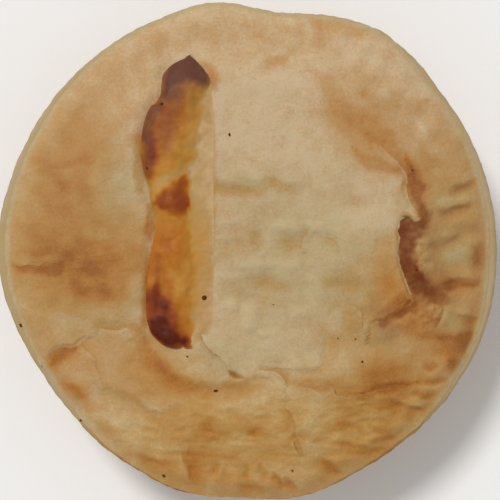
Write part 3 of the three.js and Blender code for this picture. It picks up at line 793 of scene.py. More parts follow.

# %% [markdown]
# Strips along the slot are stained by the cheese, and darker also as painted shade where the crust drops
# to the slot. The valley under the cheese's lower end holds painted shade too. In the middle a few hollows
# and a dent are a little darker, partly as painted shade.

# %% Stains and painted shade along the slot and in the middle
STAINED_AND_SHADED |= {
    "slot's upper shoulder": Patch(0.32, 0.7, [
        (-25, 25), (-23, 25), (-22.6, 15), (-23.4, 12.2), (-25.2, 12.4), (-25.2, 18)]),
    "slot's middle shoulder": Patch(0.4, 0.5, [
        (-22.5, 9.7), (-21, 9.9), (-20.6, 4.4), (-21.6, 1.5), (-22.8, 3)]),
    "slot's lower shoulder": Patch(0.4, 0.5, [
        (-22.4, 0), (-21.4, -3), (-21.8, -16), (-22.8, -18.3), (-23.6, -16), (-23, -6)]),
    # painted shade of the crevice at the slot's right edge, with the cheese's stain
    "slot's right edge": Patch(0.32, 0.8, [
        (-8.6, 30), (-7.8, 30), (-7.2, 15), (-7.6, 6), (-8, -4), (-8.4, -4), (-8.2, 10), (-8.2, 20)]),
    "cheese's stain": Patch(0.55, 1.4, [(-10, 40.4), (-8, 39.5), (-6.8, 37), (-7.3, 34.8), (-9.4, 34.4)]),
    "brown place beside the slot": Patch(0.2, 1, [
        (-26.8, 1.4), (-24, 1), (-22.6, 2.6), (-22.4, -4.8), (-25.6, -4.4)]),
    "valley under the cheese": Patch(0.32, 2.4, [
        (-24.5, -17), (-21.6, -18.6), (-17.6, -24.4), (-12, -28.2), (-6, -29.4), (-1, -29.2), (-1, -31),
        (-14, -31.8), (-20.5, -27.6), (-24, -21)]),
    "dent right of the cheese": Patch(0.1, 0.8, [
        (-7.6, 13.8), (-2, 13.4), (2, 15), (5, 14.9), (10.6, 13.2), (10, 12.4), (4, 13.2), (2, 11.6),
        (-4, 12.2), (-7.6, 12.4)]),
    "strip in the middle": Patch(0.1, 0.7, [(-0.2, 4.4), (2.8, 4.2), (2.9, -0.6), (1.4, -1), (0.2, 0)]),
    "square in the middle": Patch(0.08, 0.9, [
        (5.9, 3), (10.4, 3.4), (10.8, 0.6), (8.4, -1), (6.2, -0.6)]),
    "hollow below the pillow": Patch(0.1, 1, [
        (-1.4, -5.6), (5, -6.2), (9.6, -8), (9, -9.4), (4, -8.6), (-1, -8)]),
}

# %% [markdown]
# The left cheek browned in blotches, and the lower left rim in a row of spots. Below the left crack and
# the lower left fold, brown bands are partly painted shade under the edge above them.

# %% Stains and painted shade on the left
STAINED_AND_SHADED |= {
    "high on the left cheek": Patch(0.09, 1, [
        (-48.4, 19.8), (-44, 20.2), (-38, 19.4), (-34.6, 20), (-35, 18), (-40, 17.6), (-46, 17)]),
    "inner left cheek": Patch(0.16, 1.2, [
        (-43, 16.5), (-40, 15.2), (-38, 17.4), (-34.9, 16.4), (-34.7, 10.2), (-37, 9.4), (-38.6, 11.6),
        (-41.6, 12.2)]),
    "low on the left cheek": Patch(0.14, 1.2, [
        (-38.6, -6.6), (-34, -8), (-30.4, -6.6), (-29.2, -10.8), (-32, -12.2), (-35, -11), (-38.2, -11)]),
    # painted shadow under the crack's lip, with some brown
    "below the left crack": Patch(0.3, 0.7, [
        (-52, -3.4), (-46, -3.6), (-41.4, -3.4), (-41, -5.6), (-46, -5.6), (-51, -5)]),
    "below the crack's shade": Patch(0.12, 1.8, [
        (-49.6, -7), (-44, -7.6), (-41, -6.6), (-42, -13.6), (-48, -13.2)]),
    # painted shade under the fold's edge, with some brown
    "below the lower left fold": Patch(0.4, 1, [
        (-40.6, -21.6), (-36.9, -21.4), (-38.4, -22.7), (-40.6, -24.5), (-43.9, -26), (-43.9, -24),
        (-42.4, -22.3)]),
    "first spot on the lower left rim": Patch(0.2, 1.6, [
        (-41, -28.4), (-38.6, -29.2), (-36.4, -31.6), (-37.8, -33), (-40.2, -31)]),
    "second spot on that rim": Patch(0.26, 1.4, [
        (-33.6, -38), (-31, -38), (-29.4, -39.8), (-31, -41), (-33, -40)]),
    "third spot on that rim": Patch(0.2, 1.2, [
        (-24.4, -45), (-20, -46), (-17, -46.8), (-19, -48), (-23, -47)]),
}

# %% [markdown]
# At the bottom, fat ran under the flake's edge and into the pinches. The brown in the pinches' hollows
# and under the fifth pleat is partly painted shade.

# %% Stains and painted shade at the bottom
STAINED_AND_SHADED |= {
    "hole under the tear": Patch(0.75, 0.4, TEAR_HOLE),
    "outside the leaf below the middle": Patch(0.13, 0.8, [
        (11, -26.6), (15.8, -25.8), (16.2, -22.4), (17.4, -19.6), (20, -20), (19, -24), (16, -27),
        (11, -27.6)]),
    "foot of the leaf": Patch(0.14, 1, [
        (8.6, -29.8), (9.6, -28.2), (17, -28.4), (18.6, -30.2), (14, -30.4)]),
    "above the flake": Patch(0.12, 2.4, [
        (24, -25), (29, -24), (34.4, -25.6), (35, -28.4), (29, -29), (24, -28.4)]),
    "streak on the flake": Patch(0.5, 1.2, [
        (22, -31.6), (26, -30), (34, -28.6), (37, -29.4), (30, -31.4), (25, -32.4)]),
    "first blotch low on the right": Patch(0.28, 1.2, [
        (18.2, -36.8), (20.8, -36.6), (21.4, -38.4), (19, -38.8)]),
    "second blotch": Patch(0.34, 1.4, [(26.4, -38.6), (30.6, -39.4), (31.8, -41.6), (28.6, -41.4)]),
    "hollow of the third pinch": Patch(0.12, 0.7, [(-1, -49.2), (1.4, -50.6), (2.6, -52.2), (0, -52)]),
    "hollow of the fourth pinch": Patch(0.1, 0.7, [
        (5.2, -48.6), (7.2, -50), (8.2, -52), (6.8, -51.6), (5, -50)]),
    "dark rim at the bottom": Patch(0.12, 1.8, [
        (-2.2, -51.6), (3.2, -51.6), (3.6, -53.4), (1.6, -54), (-1.6, -53.4)]),
    "shade of the fifth pleat": Patch(0.18, 1.4, [
        (15.6, -46.4), (18, -47), (20, -48.8), (19, -49.6), (17, -48.4)]),
}

# %% [markdown]
# On the right rim the grooves and hollows between crimps and pleats are the brownest, partly browned and
# partly painted shade.

# %% Stains and painted shade on the right rim
STAINED_AND_SHADED |= {
    "groove of the first crimp": Patch(0.16, 0.8, [
        (43.6, 12.6), (47, 14), (49.8, 15), (49.8, 14.2), (46.4, 12.6), (43.6, 11.8)]),
    "groove of the second crimp": Patch(0.18, 0.8, [
        (42, 8.2), (45, 9), (48.4, 10.2), (48.4, 9.2), (45, 8), (42, 7.4)]),
    "spot on the right rim": Patch(0.42, 1.6, [
        (49.4, 0.6), (50.7, 0.8), (51.4, -1.5), (50.6, -3.6), (49, -3.8), (48.7, -2)]),
    "groove of the third crimp": Patch(0.18, 0.9, [
        (39, 0.6), (42.6, 1.8), (45.8, 3.2), (45.8, 2.2), (42.6, 0.6), (39, -0.4)]),
    "groove of the fourth crimp": Patch(0.34, 0.6, [
        (42.2, -6.8), (44.8, -6.9), (47, -7.4), (50.4, -7.3), (50.4, -7.9), (47, -8.3), (45, -8.8),
        (43.6, -9.6), (42, -8.4)]),
    "band below the fifth crimp": Patch(0.26, 1, [
        (36.4, -18.4), (41, -18.4), (46, -18.6), (49.8, -18.6), (49, -20.4), (44, -19.8), (40, -20.2),
        (37, -19.8)]),
    "blotch by the right rim": Patch(0.34, 1.3, [
        (43.2, -23.8), (45.4, -24.2), (46.2, -25.8), (44.8, -27), (43, -26.2)]),
    "hollow of the hook": Patch(0.18, 0.8, [
        (37.8, -24.4), (40, -24.6), (41.2, -25.6), (39.8, -26.4), (37.8, -25.8)]),
    "hollow above the upper pleat": Patch(0.22, 0.8, [
        (37.8, -28.6), (41, -28.2), (43.4, -28.2), (42, -29.5), (38.6, -29.7)]),
    "hollow between the pleats": Patch(0.26, 0.9, [
        (36, -31), (39, -31.2), (41.6, -31.4), (40.6, -33), (37.6, -33)]),
    "end of the second pleat": Patch(0.26, 1, [(37.4, -34.6), (40.4, -33.8), (40, -36), (38.2, -37)]),
}

# %% [markdown]
# In the upper right a broad toasted band follows the edge of the puffed middle.

# %% Stains at the top
STAINED_AND_SHADED |= {
    "upper right": Patch(0.13, 1.3, [
        (13.8, 38.6), (17.8, 38.3), (21.1, 35), (22.6, 31.1), (27, 28.9), (31, 26.2), (33.2, 21.8),
        (35, 18.5), (32.8, 16.3), (28.8, 17), (24.8, 19.6), (22.2, 22.9), (20, 25.8), (17.8, 28.9),
        (16, 32.8)]),
    "inside the puffed edge": Patch(0.42, 1, [
        (22.2, 22.3), (25.7, 20.8), (29.2, 19.8), (32.6, 17.8), (32.3, 16.2), (29.2, 16.8),
        (25.7, 17.2), (23.1, 20)]),
    "high in the upper right": Patch(0.1, 2, [
        (17.4, 39), (22, 40), (27, 38.6), (33, 35.4), (38, 31.6), (36, 29.6), (31, 30.8), (26, 32.4),
        (22.6, 33.6)]),
    "wedge on the upper right rim": Patch(0.14, 1, [
        (38.1, 21.2), (40.7, 20.1), (43.7, 17.9), (42.6, 17.1), (39.6, 19)]),
    "top rim": Patch(0.2, 1.6, [
        (13.6, 50.4), (20, 51.4), (26, 48.6), (25, 46.4), (19, 47.4), (14.4, 48.4)]),
    "line above that wrinkle": Patch(0.1, 0.7, [
        (-0.2, 46.8), (3, 46.9), (5.8, 45.4), (5, 44.4), (2.6, 45.6), (0, 45.8)]),
    "wrinkle at the top": Patch(0.15, 0.7, [
        (3.8, 42.1), (8.7, 42.1), (7.6, 40.8), (4.6, 39.7), (3.4, 40.6)]),
}
print(len(STAINED_AND_SHADED), "stained and shaded patches")

# %% [markdown]
# Scorched dough is red brown, beyond what the oven does to an open crust: the filling boiled up in the deep
# fold and burnt there. The fold is modelled shallow, so this dark colour also paints the crevice's shade,
# and it shows only where the crust sank.

# %% Scorched patches, with the deep fold's painted shade
SCORCHED_AND_SHADED = {
    "tick at the flap's foot": Patch(0.5, 0.4, FLAP_TICK),
    "deep fold": Patch(0.82, 2, [
        (31, 5.6), (32.6, 8.2), (34.8, 7.8), (35.8, 6), (37, 6.4), (37.6, 9), (39.2, 9), (39, 5.6),
        (36.6, 3), (36, 0), (36.6, -3.6), (38.6, -6.4), (41.6, -9.8), (40.6, -11.6), (37.8, -10.8),
        (35.4, -10), (33.6, -7.2), (32, -3), (31.4, 0), (31, 3.6)]),
    # the darkest corner and foot are painted shade of the crevice as well as scorch
    "darkest corner of the deep fold": Patch(1, 0.6, [(33, 4), (34.6, 3.6), (34.6, 1.8), (33.2, 1.8)]),
    "darkest foot of the deep fold": Patch(0.95, 1.4, [(33.6, -0.6), (35.4, -0.6), (38.4, -7), (36, -8)]),
    "red in the valley above": Patch(0.35, 1, [(35.6, 18), (36.8, 16.4), (37.2, 13.6), (36, 14)]),
    "flap's edge": Patch(0.4, 0.6, [
        (29.4, -15), (32.6, -13), (35.6, -11.2), (36, -12.1), (33, -14.4), (29.6, -16.2)]),
    "fourth crimp": Patch(0.4, 0.6, [(42.2, -7), (44.8, -7), (45.2, -8.4), (43.8, -9.4)]),
}

# %% [markdown]
# Four marks hold the result: how brown, how moist, how dark with scorch and painted shade, and how golden
# each vertex is. Hollows get a little more brown, partly as painted shade, and raised flakes and pillows
# less, as a painted highlight, while wrinkles and dents get painted shade. The pressed edge stays pale,
# except at the bottom of the picture.

# %% Brown the lid, with painted shade and highlights
BORDER_X = [Swell(11, 2.4, 51), Swell(4, 1.2, 52)]
BORDER_Y = [Swell(11, 2.4, 53), Swell(4, 1.2, 54)]
FUZZY_X = [Swell(1.2, 0.9, 46), Swell(3.6, 0.8, 47)]
FUZZY_Y = [Swell(1.2, 0.9, 48), Swell(3.6, 0.8, 49)]
BLOTCHES, BLOTCH_LEAST = [Swell(9, 0.1, 55), Swell(3.6, 0.1, 56)], 0.6  # browner crust is blotchier
STREAKS, STREAK_STRETCH = [Swell(2, 0.14, 59), Swell(4.5, 0.1, 60)], 3.4
# painted shade in hollows, wrinkles and dents, and painted highlight on raised flakes and pillows
HOLLOW_BROWN_AND_SHADE, DEEPEST_BROWN_AND_SHADE, FLAKE_LIGHT_AND_SHADE, PUFF_LIGHT_AND_SHADE = 0.42, 1.1, 0.4, 0.35
PALE_EDGE, EDGE_BROWN = (0.2, 1.5), 0.12
BROWN_EDGE = (0.5, 0.85)  # shares of the way down the picture where the edge starts to brown and is brown
SCORCH_AND_SHADE_SWELLS, SCORCH_AND_SHADE_DEPTH = [Swell(2.6, 0.22, 57), Swell(0.9, 0.18, 58)], (0.02, 0.3)
# also the brown painted as shade on the sides of the torn leaves
FRIED_AND_SHADED_BROWN = 1.05  # how brown the dough is where it scorched


def marks_at(x, y, crust):
    """How brown, moist, scorch-dark and golden the crust is, with painted shade and highlights."""
    wild_x, wild_y = x + rolling(BORDER_X, x, y), y + rolling(BORDER_Y, x, y)
    stray_x, stray_y = strayed(x, y)
    fuzzy_x, fuzzy_y = stray_x + rolling(FUZZY_X, x, y), stray_y + rolling(FUZZY_Y, x, y)
    browned = spotted(BROWNED.values(), wild_x, wild_y) - spotted(PALE.values(), wild_x, wild_y)
    blotches = rolling(BLOTCHES, x, y) * (BLOTCH_LEAST + browned)
    # raised flakes and pillows are painted paler as lit, and wrinkles and dents browner as shade
    browned += blotches - FLAKE_LIGHT_AND_SHADE * crust.flaked - PUFF_LIGHT_AND_SHADE * crust.puffed
    browned += spotted(FLAKY, x, y) * rolling(STREAKS, x / STREAK_STRETCH, y)
    # sunken places are browner, partly as painted shade
    browned += HOLLOW_BROWN_AND_SHADE * np.minimum(crust.sunken, DEEPEST_BROWN_AND_SHADE)
    browned = np.maximum(browned, 0) + patched(STAINED_AND_SHADED.values(), stray_x, stray_y) + spotted(FLECKS, x, y)
    above_bottom = 1 - step(-np.sin(np.arctan2(y, x)), *BROWN_EDGE)
    pale_edge = (1 - step(crust.inward, *PALE_EDGE)) * above_bottom
    browned += pale_edge * (EDGE_BROWN - browned)
    moist = np.maximum(spotted(MOIST.values(), wild_x, wild_y), pale_edge)
    golden = spotted(GOLDEN.values(), wild_x, wild_y)
    scorch_and_shade = patched(SCORCHED_AND_SHADED.values(), fuzzy_x, fuzzy_y) * (1 + rolling(SCORCH_AND_SHADE_SWELLS, x, y))
    # scorch and its painted shade show only where the crust sank
    scorch_and_shade *= step(crust.sunken, *SCORCH_AND_SHADE_DEPTH)
    browned = np.maximum(browned, FRIED_AND_SHADED_BROWN * np.sqrt(scorch_and_shade))
    return {"browned": browned, "moist": moist, "scorch_and_shade": scorch_and_shade, "golden": golden}


pastry_lid = bake(
    lid, "baked_lid", lid_x * lid_grown, lid_y * lid_grown, lid_z, "lid_pastry", ["pastry_lid"],
    **marks_at(lid_x, lid_y, lid_crust))

# %% [markdown]
# Colours are written as they look on a screen and turned to linear light by one function. Materials are
# node trees, and one small function adds any node with its settings, values and links.

# %% Colours and nodes
def linear(colour):
    """A screen colour, such as #ceb590, in linear light by the sRGB standard's curve."""
    channels = [int(colour[i:i + 2], 16) / 255 for i in (1, 3, 5)]
    return [c / 12.92 if c <= 0.04045 else ((c + 0.055) / 1.055) ** 2.4 for c in channels] + [1]


def add(tree, kind, stops=(), inputs=None, **settings):
    """Adds a node. Inputs hold values or sockets to link; stops are a ramp's places and colours."""
    node = tree.nodes.new("ShaderNode" + kind)
    for name, value in settings.items():
        setattr(node, name, value)
    for i, (place, colour) in enumerate(stops):
        stop = node.color_ramp.elements[i] if i < 2 else node.color_ramp.elements.new(place)
        stop.position, stop.color = place, linear(colour)
    for name, value in (inputs or {}).items():
        if isinstance(value, bpy.types.NodeSocket):
            tree.links.new(value, node.inputs[name])
        else:
            node.inputs[name].default_value = value
    return node


def start_material(name, **surface):
    """A material with its shader, whose constant values are set on its own sockets."""
    material = bpy.data.materials.new(name)
    material.use_nodes = True
    shader = material.node_tree.nodes["Principled BSDF"]
    for socket, value in surface.items():
        shader.inputs[socket.replace("_", " ")].default_value = value
    return material, material.node_tree, shader


# %% [markdown]
# The lid is puff pastry, rolled, brushed with egg and baked. Its colour could be one ramp over noise, but
# this crust has its own map of brown, which the marks hold. Noise only unsettles it: real flour specks
# and pores are under a millimetre, so the grain is drawn near that size.

# %% Puff pastry, baked: how brown it is
BLOTCH, GRAIN, PORE = 3.2, 0.8, 0.45  # sizes of the colour's blotches, its grain and the pores, in mm
BLOTCH_SHIFT, GRAIN_SHIFT, PORE_SHIFT = 0.05, 0.045, 0.06  # how far each moves the browning, up or down
NOISE_RANGE = {"From Min": 0.3, "From Max": 0.7}  # most of the noise lies in this range
PASTRY_IOR = 1.45
DRY_SHINE = 0.25  # flour and fat scatter most of what would glance off
TRANSLUCENT, DOUGH_GLOW, GLOW_REACH = 0.3, (1, 0.5, 0.25), 0.5 * MM  # red light runs furthest through dough

puff_pastry, tree, shader = start_material(
    "puff_pastry_baked", IOR=PASTRY_IOR, Specular_IOR_Level=DRY_SHINE,
    Subsurface_Weight=TRANSLUCENT, Subsurface_Radius=DOUGH_GLOW, Subsurface_Scale=GLOW_REACH)
where = add(tree, "TexCoord").outputs["Object"]
blotch, grain, pores = (
    add(tree, "TexNoise", inputs={
        "Vector": where, "Scale": 1 / (size * MM), "Detail": detail}).outputs["Fac"]
    for size, detail in ((BLOTCH, 4), (GRAIN, 3), (PORE, 2)))
brown, is_moist, is_scorched_and_shaded, is_golden = (
    add(tree, "Attribute", attribute_name=mark).outputs["Fac"]
    for mark in ("browned", "moist", "scorch_and_shade", "golden"))
for noise, shift in ((blotch, BLOTCH_SHIFT), (grain, GRAIN_SHIFT), (pores, PORE_SHIFT)):
    uneven = add(tree, "MapRange", inputs={
        "Value": noise, **NOISE_RANGE, "To Min": -shift, "To Max": shift})
    brown = add(tree, "Math", operation="ADD", inputs={0: brown, 1: uneven.outputs[0]}).outputs[0]

# %% [markdown]
# To the eye pale dough is chalky cream, and browning runs through tan and gold to a red brown. Egg takes
# out some blue. Moist dough is greener and browns to ochre. Fat and egg make the brown parts a little
# glossier.

# %% Puff pastry, baked: colour, gloss and grain
EGG_TINT, SCORCHED_AND_SHADED_DOUGH = "#fffedd", "#70340d"
PALE_ROUGH, BROWN_ROUGH = 0.75, 0.55
CRUST_BUMPS = 0.5  # the strength of the grain's and the pores' relief
GRAIN_RISE, PORE_RISE = 0.22 * MM, 0.16 * MM

dry_crust = add(tree, "ValToRGB", inputs={"Fac": brown}, stops=[
    (0, "#ceb590"), (1, "#9c5d24"), (0.25, "#c19b6c"), (0.5, "#ba8b52"), (0.75, "#b27738")])
egged_crust = add(tree, "MixRGB", blend_type="MULTIPLY", inputs={
    "Fac": is_golden, "Color1": dry_crust.outputs["Color"], "Color2": linear(EGG_TINT)})
moist_dough = add(tree, "ValToRGB", inputs={"Fac": brown}, stops=[
    (0, "#bfab81"), (1, "#95653a"), (0.15, "#b9a277"), (0.4, "#b29159"), (0.65, "#a78250")])
moist_crust = add(tree, "MixRGB", inputs={
    "Fac": is_moist, "Color1": egged_crust.outputs["Color"], "Color2": moist_dough.outputs["Color"]})
# the dark red brown of scorch, which also paints the deep fold's shade
scorched_and_shaded_crust = add(tree, "MixRGB", inputs={
    "Fac": is_scorched_and_shaded, "Color1": moist_crust.outputs["Color"], "Color2": linear(SCORCHED_AND_SHADED_DOUGH)})
tree.links.new(scorched_and_shaded_crust.outputs["Color"], shader.inputs["Base Color"])
gloss = add(tree, "MapRange", inputs={"Value": brown, "To Min": PALE_ROUGH, "To Max": BROWN_ROUGH})
tree.links.new(gloss.outputs[0], shader.inputs["Roughness"])
coarse = add(tree, "Bump", inputs={"Height": grain, "Strength": CRUST_BUMPS, "Distance": GRAIN_RISE})
fine = add(tree, "Bump", inputs={
    "Height": pores, "Strength": CRUST_BUMPS, "Distance": PORE_RISE, "Normal": coarse.outputs[0]})
tree.links.new(fine.outputs["Normal"], shader.inputs["Normal"])
pastry_lid.data.materials.append(puff_pastry)
print(puff_pastry.name, "has", len(tree.nodes), "nodes")

# %% [markdown]
# Where the top leaf of the dough tore or lifted, its edge is crisper than the lid's grid. A finer grid
# all over would cost far more than the few edges that need it, so each such edge is a thin leaf of its
# own.

# %% Where leaves tore
# A leaf has its edge's rise, the share of the crease's hollow that it spans, and its run back into the lid.
Leaf = namedtuple("Leaf", "lift bridged right up")
LEAVES = {
    "edge of the flap": Leaf(0.04, 0.05, -3, 1.6),
    "upper edge of the puffed middle": Leaf(0.15, 0, -3, -2),
    "lifted lip at the bottom": Leaf(0.4, 1, -2, -2.4),
    "flake over the bottom rim": Leaf(0.35, 1, 0, -4),
    "split down the bottom rim": Leaf(0.4, 1, 4, 0.4),
    "tear from the slot's corner": Leaf(0.18, 0.6, 2.6, 1.6),
    "flake left of the cheese": Leaf(0.24, 0.4, 0, -3),
    "torn corner beside the split": Leaf(0.35, 1, -1.4, -0.8),
    "fold at the lower left": Leaf(0.08, 0.05, -1.5, 3),
    "crack below that fold": Leaf(0.1, 0.2, -2.6, -1),
    "crack at the left edge": Leaf(0.14, 0.1, 0, 3),
    "lifted leaf in the middle": Leaf(0.25, 1, 2.6, 0.2),
    "leaf edge inside the flap": Leaf(0.25, 0.5, -2.4, -2),
    "arc in the middle": Leaf(0.08, 0.3, 2, 1.4),
    "leaf edge below the middle": Leaf(0.1, 0.1, -2, 2),
    "crack inside the fifth crimp": Leaf(0.12, 0.3, 2.6, 0.4),
}
print(len(LEAVES), "torn leaves")

# %% [markdown]
# A leaf stands up a little along the line where the crust falls away, on the line's high side, and runs
# back into the lid, which has the same heights and the same brown. The torn edge is paler than the leaf,
# partly as crumbly dough and partly as a painted highlight where it catches the light. Its side, down in
# the crease, is painted the brown of fried dough as shade.

# %% Lay the torn leaves
LEAF_CELL, LEAF_ROWS = 0.2, 14
TORN_X, TORN_Y = [Swell(1.1, 0.2, 43), Swell(3, 0.3, 44)], [Swell(1.1, 0.2, 45), Swell(3, 0.3, 50)]
# a torn edge's paleness is partly a painted highlight
LEAF_BURIED, TORN_PALE_AND_LIT = 0.25, 0.3  # how deep its back lies in the lid, how much paler its edge is
BURIED_BELOW, BRIDGED_FROM = 0.15, 0.3  # shares of its rise where it leaves the lid and spans the hollow


def leaf_along(name, leaf):
    """A thin leaf whose torn edge follows a crease."""
    torn_edge = smooth_line(CREASES[name].path)
    length = np.hypot(*np.diff(torn_edge, axis=0).T).sum()
    sheet = rolled_sheet(round(length / LEAF_CELL), LEAF_ROWS, 1)
    u, v, depth = places(sheet)
    along, back = (u + 1) / 2, (v + 1) / 2
    edge_x, edge_y = along_line(torn_edge, along)
    x = edge_x + rolling(TORN_X, edge_x, edge_y) + back * leaf.right
    y = edge_y + rolling(TORN_Y, edge_x, edge_y) + back * leaf.up
    crust = crust_at(x, y)
    raised = np.sqrt(np.sin(math.pi * along)) * (1 - back) ** 2
    bridged = leaf.bridged * step(raised, 0, BRIDGED_FROM) * np.maximum(crust.sunken, 0)
    z = crust.height + raised * leaf.lift + bridged
    z -= LEAF_BURIED * (1 - step(raised, 0, BURIED_BELOW))
    z = np.where(depth < 0, crust.height - 2 * LEAF_BURIED, z)
    marks = marks_at(x, y, crust._replace(sunken=np.zeros_like(x)))
    # the torn edge is paler, partly as a painted highlight
    marks = {mark: amounts * (1 - TORN_PALE_AND_LIT * raised**3) for mark, amounts in marks.items()}
    # the leaf's side, down in the crease, is painted fried brown as shade
    marks["browned"] = np.where(depth < 0, FRIED_AND_SHADED_BROWN, marks["browned"])
    return bake(sheet, "leaf_" + re.sub("[^a-z]+", "_", name), x, y, z, "lid_pastry", **marks)


for name, leaf in LEAVES.items():
    leaf_along(name, leaf).data.materials.append(puff_pastry)

# %% [markdown]
# The case is short pastry pressed into a tin. Its section is spun round the middle: a flat foot, a
# rounded heel, the leaning wall, and the rim that lay over the tin's edge. Straight stretches and bends
# follow one another, each divided finely enough for what roughens it later.

# %% The case's section
FOOT_RADIUS, HEEL_RADIUS, WALL_TOP_RADIUS, RIM_RADIUS = 40, 5, 48.5, 54.6
RIM_DEPTH, RIM_ROUND, RIM_FLARE = 3.2, 1.3, 2.2
FOOT_POINTS, HEEL_POINTS, WALL_POINTS, FLARE_POINTS = 18, 12, 34, 8
UNDER_POINTS, ROUND_POINTS, TOP_POINTS = 6, 7, 8


def curved(start, corner, end, points):
    """A bend between two points, drawn towards a corner."""
    t = np.linspace(0, 1, points)[:, None]
    start, corner, end = (np.array(point, float) for point in (start, corner, end))
    return (1 - t) ** 2 * start + 2 * t * (1 - t) * corner + t**2 * end


rim_under, rim_middle = SEAM - RIM_DEPTH, SEAM - RIM_DEPTH / 2
foot_edge, heel_top = (FOOT_RADIUS - HEEL_RADIUS, 0), (FOOT_RADIUS, HEEL_RADIUS)
wall_top, flare_end = (WALL_TOP_RADIUS, rim_under - RIM_FLARE), (WALL_TOP_RADIUS + RIM_FLARE, rim_under)
rim_below, rim_side = (RIM_RADIUS - RIM_ROUND, rim_under), (RIM_RADIUS, rim_middle)
rim_above = (RIM_RADIUS - RIM_ROUND, SEAM)
section = np.vstack([
    np.linspace((0, 0), foot_edge, FOOT_POINTS),
    curved(foot_edge, (FOOT_RADIUS, 0), heel_top, HEEL_POINTS)[1:],
    np.linspace(heel_top, wall_top, WALL_POINTS)[1:],
    curved(wall_top, (WALL_TOP_RADIUS, rim_under), flare_end, FLARE_POINTS)[1:],
    np.linspace(flare_end, rim_below, UNDER_POINTS)[1:],
    curved(rim_below, (RIM_RADIUS, rim_under), rim_side, ROUND_POINTS)[1:],
    curved(rim_side, (RIM_RADIUS, SEAM), rim_above, ROUND_POINTS)[1:],
    np.linspace(rim_above, (WALL_TOP_RADIUS, SEAM), TOP_POINTS)[1:],
    [(0, SEAM)],
])
print("case section of", len(section), "points")

# %% [markdown]
# Spinning the section gives the whole case at once. The tin makes it far smoother than the lid, so only
# slow swells and a few dry pits break its wall. The rim stood free: it follows the model's trimmed edge,
# and its underside sags unevenly.

# %% Spin the case and roughen it
CASE_SPOKES = 360
SAME_PLACE = 0.001  # points that lie nearer than this are merged
WALL_SWELLS, WALL_RIPPLES = [Swell(13, 0.4, 61)], [Swell(5, 0.12, 62)]
PIT_SWELLS, PITTED, PIT_DEPTH = [Swell(2.2, 1, 63)], (0.45, 0.9), 0.35
RIM_SWELLS, RIM_SLANT = [Swell(1.7, 0.2, 64), Swell(5, 0.16, 65)], 2  # the swells change with height
RIM_SAGS = [Swell(7, 0.45, 66), Swell(2.6, 0.2, 67)]

case = bmesh.new()
corners = [case.verts.new((radius, 0, height)) for radius, height in section]
runs = [case.edges.new(pair) for pair in zip(corners, corners[1:])]
bmesh.ops.spin(case, geom=corners + runs, cent=(0, 0, 0), axis=(0, 0, 1), angle=2 * math.pi,
               steps=CASE_SPOKES, use_merge=True)
bmesh.ops.remove_doubles(case, verts=case.verts, dist=SAME_PLACE)
bmesh.ops.recalc_face_normals(case, faces=case.faces)

case_x, case_y, case_z = places(case)
case_radius, case_bearing = np.hypot(case_x, case_y), np.arctan2(case_y, case_x)
on_rim = step(case_radius, WALL_TOP_RADIUS, RIM_RADIUS - RIM_ROUND)
on_wall = step(case_z, 0, HEEL_RADIUS) * (1 - on_rim)
wall_swell = rolling(WALL_SWELLS, case_x, case_y + case_z) + rolling(WALL_RIPPLES, case_x - case_z, case_y)
pits = PIT_DEPTH * step(rolling(PIT_SWELLS, case_x + case_z, case_y - case_z), *PITTED)
rim_shift = edge_at(rim_reach, case_bearing) - RIM_RADIUS
rim_shift = rim_shift + rolling(RIM_SWELLS, case_x, case_y + RIM_SLANT * case_z)
case_grown = case_radius + on_rim * rim_shift + on_wall * (wall_swell - pits)
rim_sag = on_rim * (1 - step(case_z, rim_under, SEAM)) * rolling(RIM_SAGS, case_x, case_y)
scale_out = np.divide(case_grown, case_radius, out=np.ones_like(case_radius), where=case_radius > 0)

# %% [markdown]
# A tin browns the case most where the metal was hottest, round the heel and over the foot, and least
# under the rim's edge, which stands away from it. The rim's top, beside the lid, stays the colour of
# dough, and is browner towards the bottom of the picture.

# %% Brown the case
HEEL_BROWN, WALL_BROWN, RIM_BROWN, RIM_BROWNEST = 0.75, 0.35, 0.1, 0.55
HOTTEST_BELOW, RIM_BLEND = 4, 1  # heights: up to where the heel is brownest, and round the rim's two edges
BROWN_RIM = (0.55, 0.9)  # how far down the picture the rim starts to brown and is brownest

wall_browned = HEEL_BROWN - (HEEL_BROWN - WALL_BROWN) * step(case_z, HOTTEST_BELOW, rim_under)
rim_browned = RIM_BROWN + (RIM_BROWNEST - RIM_BROWN) * step(-np.sin(case_bearing), *BROWN_RIM)
rim_share = step(case_z, rim_under - RIM_BLEND, SEAM - RIM_BLEND)
pastry_case = bake(
    case, "baked_case", case_x * scale_out, case_y * scale_out, case_z + rim_sag, "case_pastry",
    ["pastry_case"], browned=wall_browned + rim_share * (rim_browned - wall_browned))

# %% [markdown]
# Short pastry is crumblier and drier than the lid's. To the eye it has a sandy grain and a dull surface.
# The tin leaves it an even gold, broken by pale flecks of fat.

# %% Short pastry, baked in a tin
SAND, FLECK, TOASTING = 0.7, 2.4, 11  # sizes of the grain, the fat's flecks and the toasted patches, in mm
FLECK_SHIFT, TOASTING_SHIFT = 0.1, 0.16
PALE_DULL, BROWN_DULL = 0.82, 0.62  # roughness
SAND_BUMPS, SAND_RISE = 0.4, 0.2 * MM

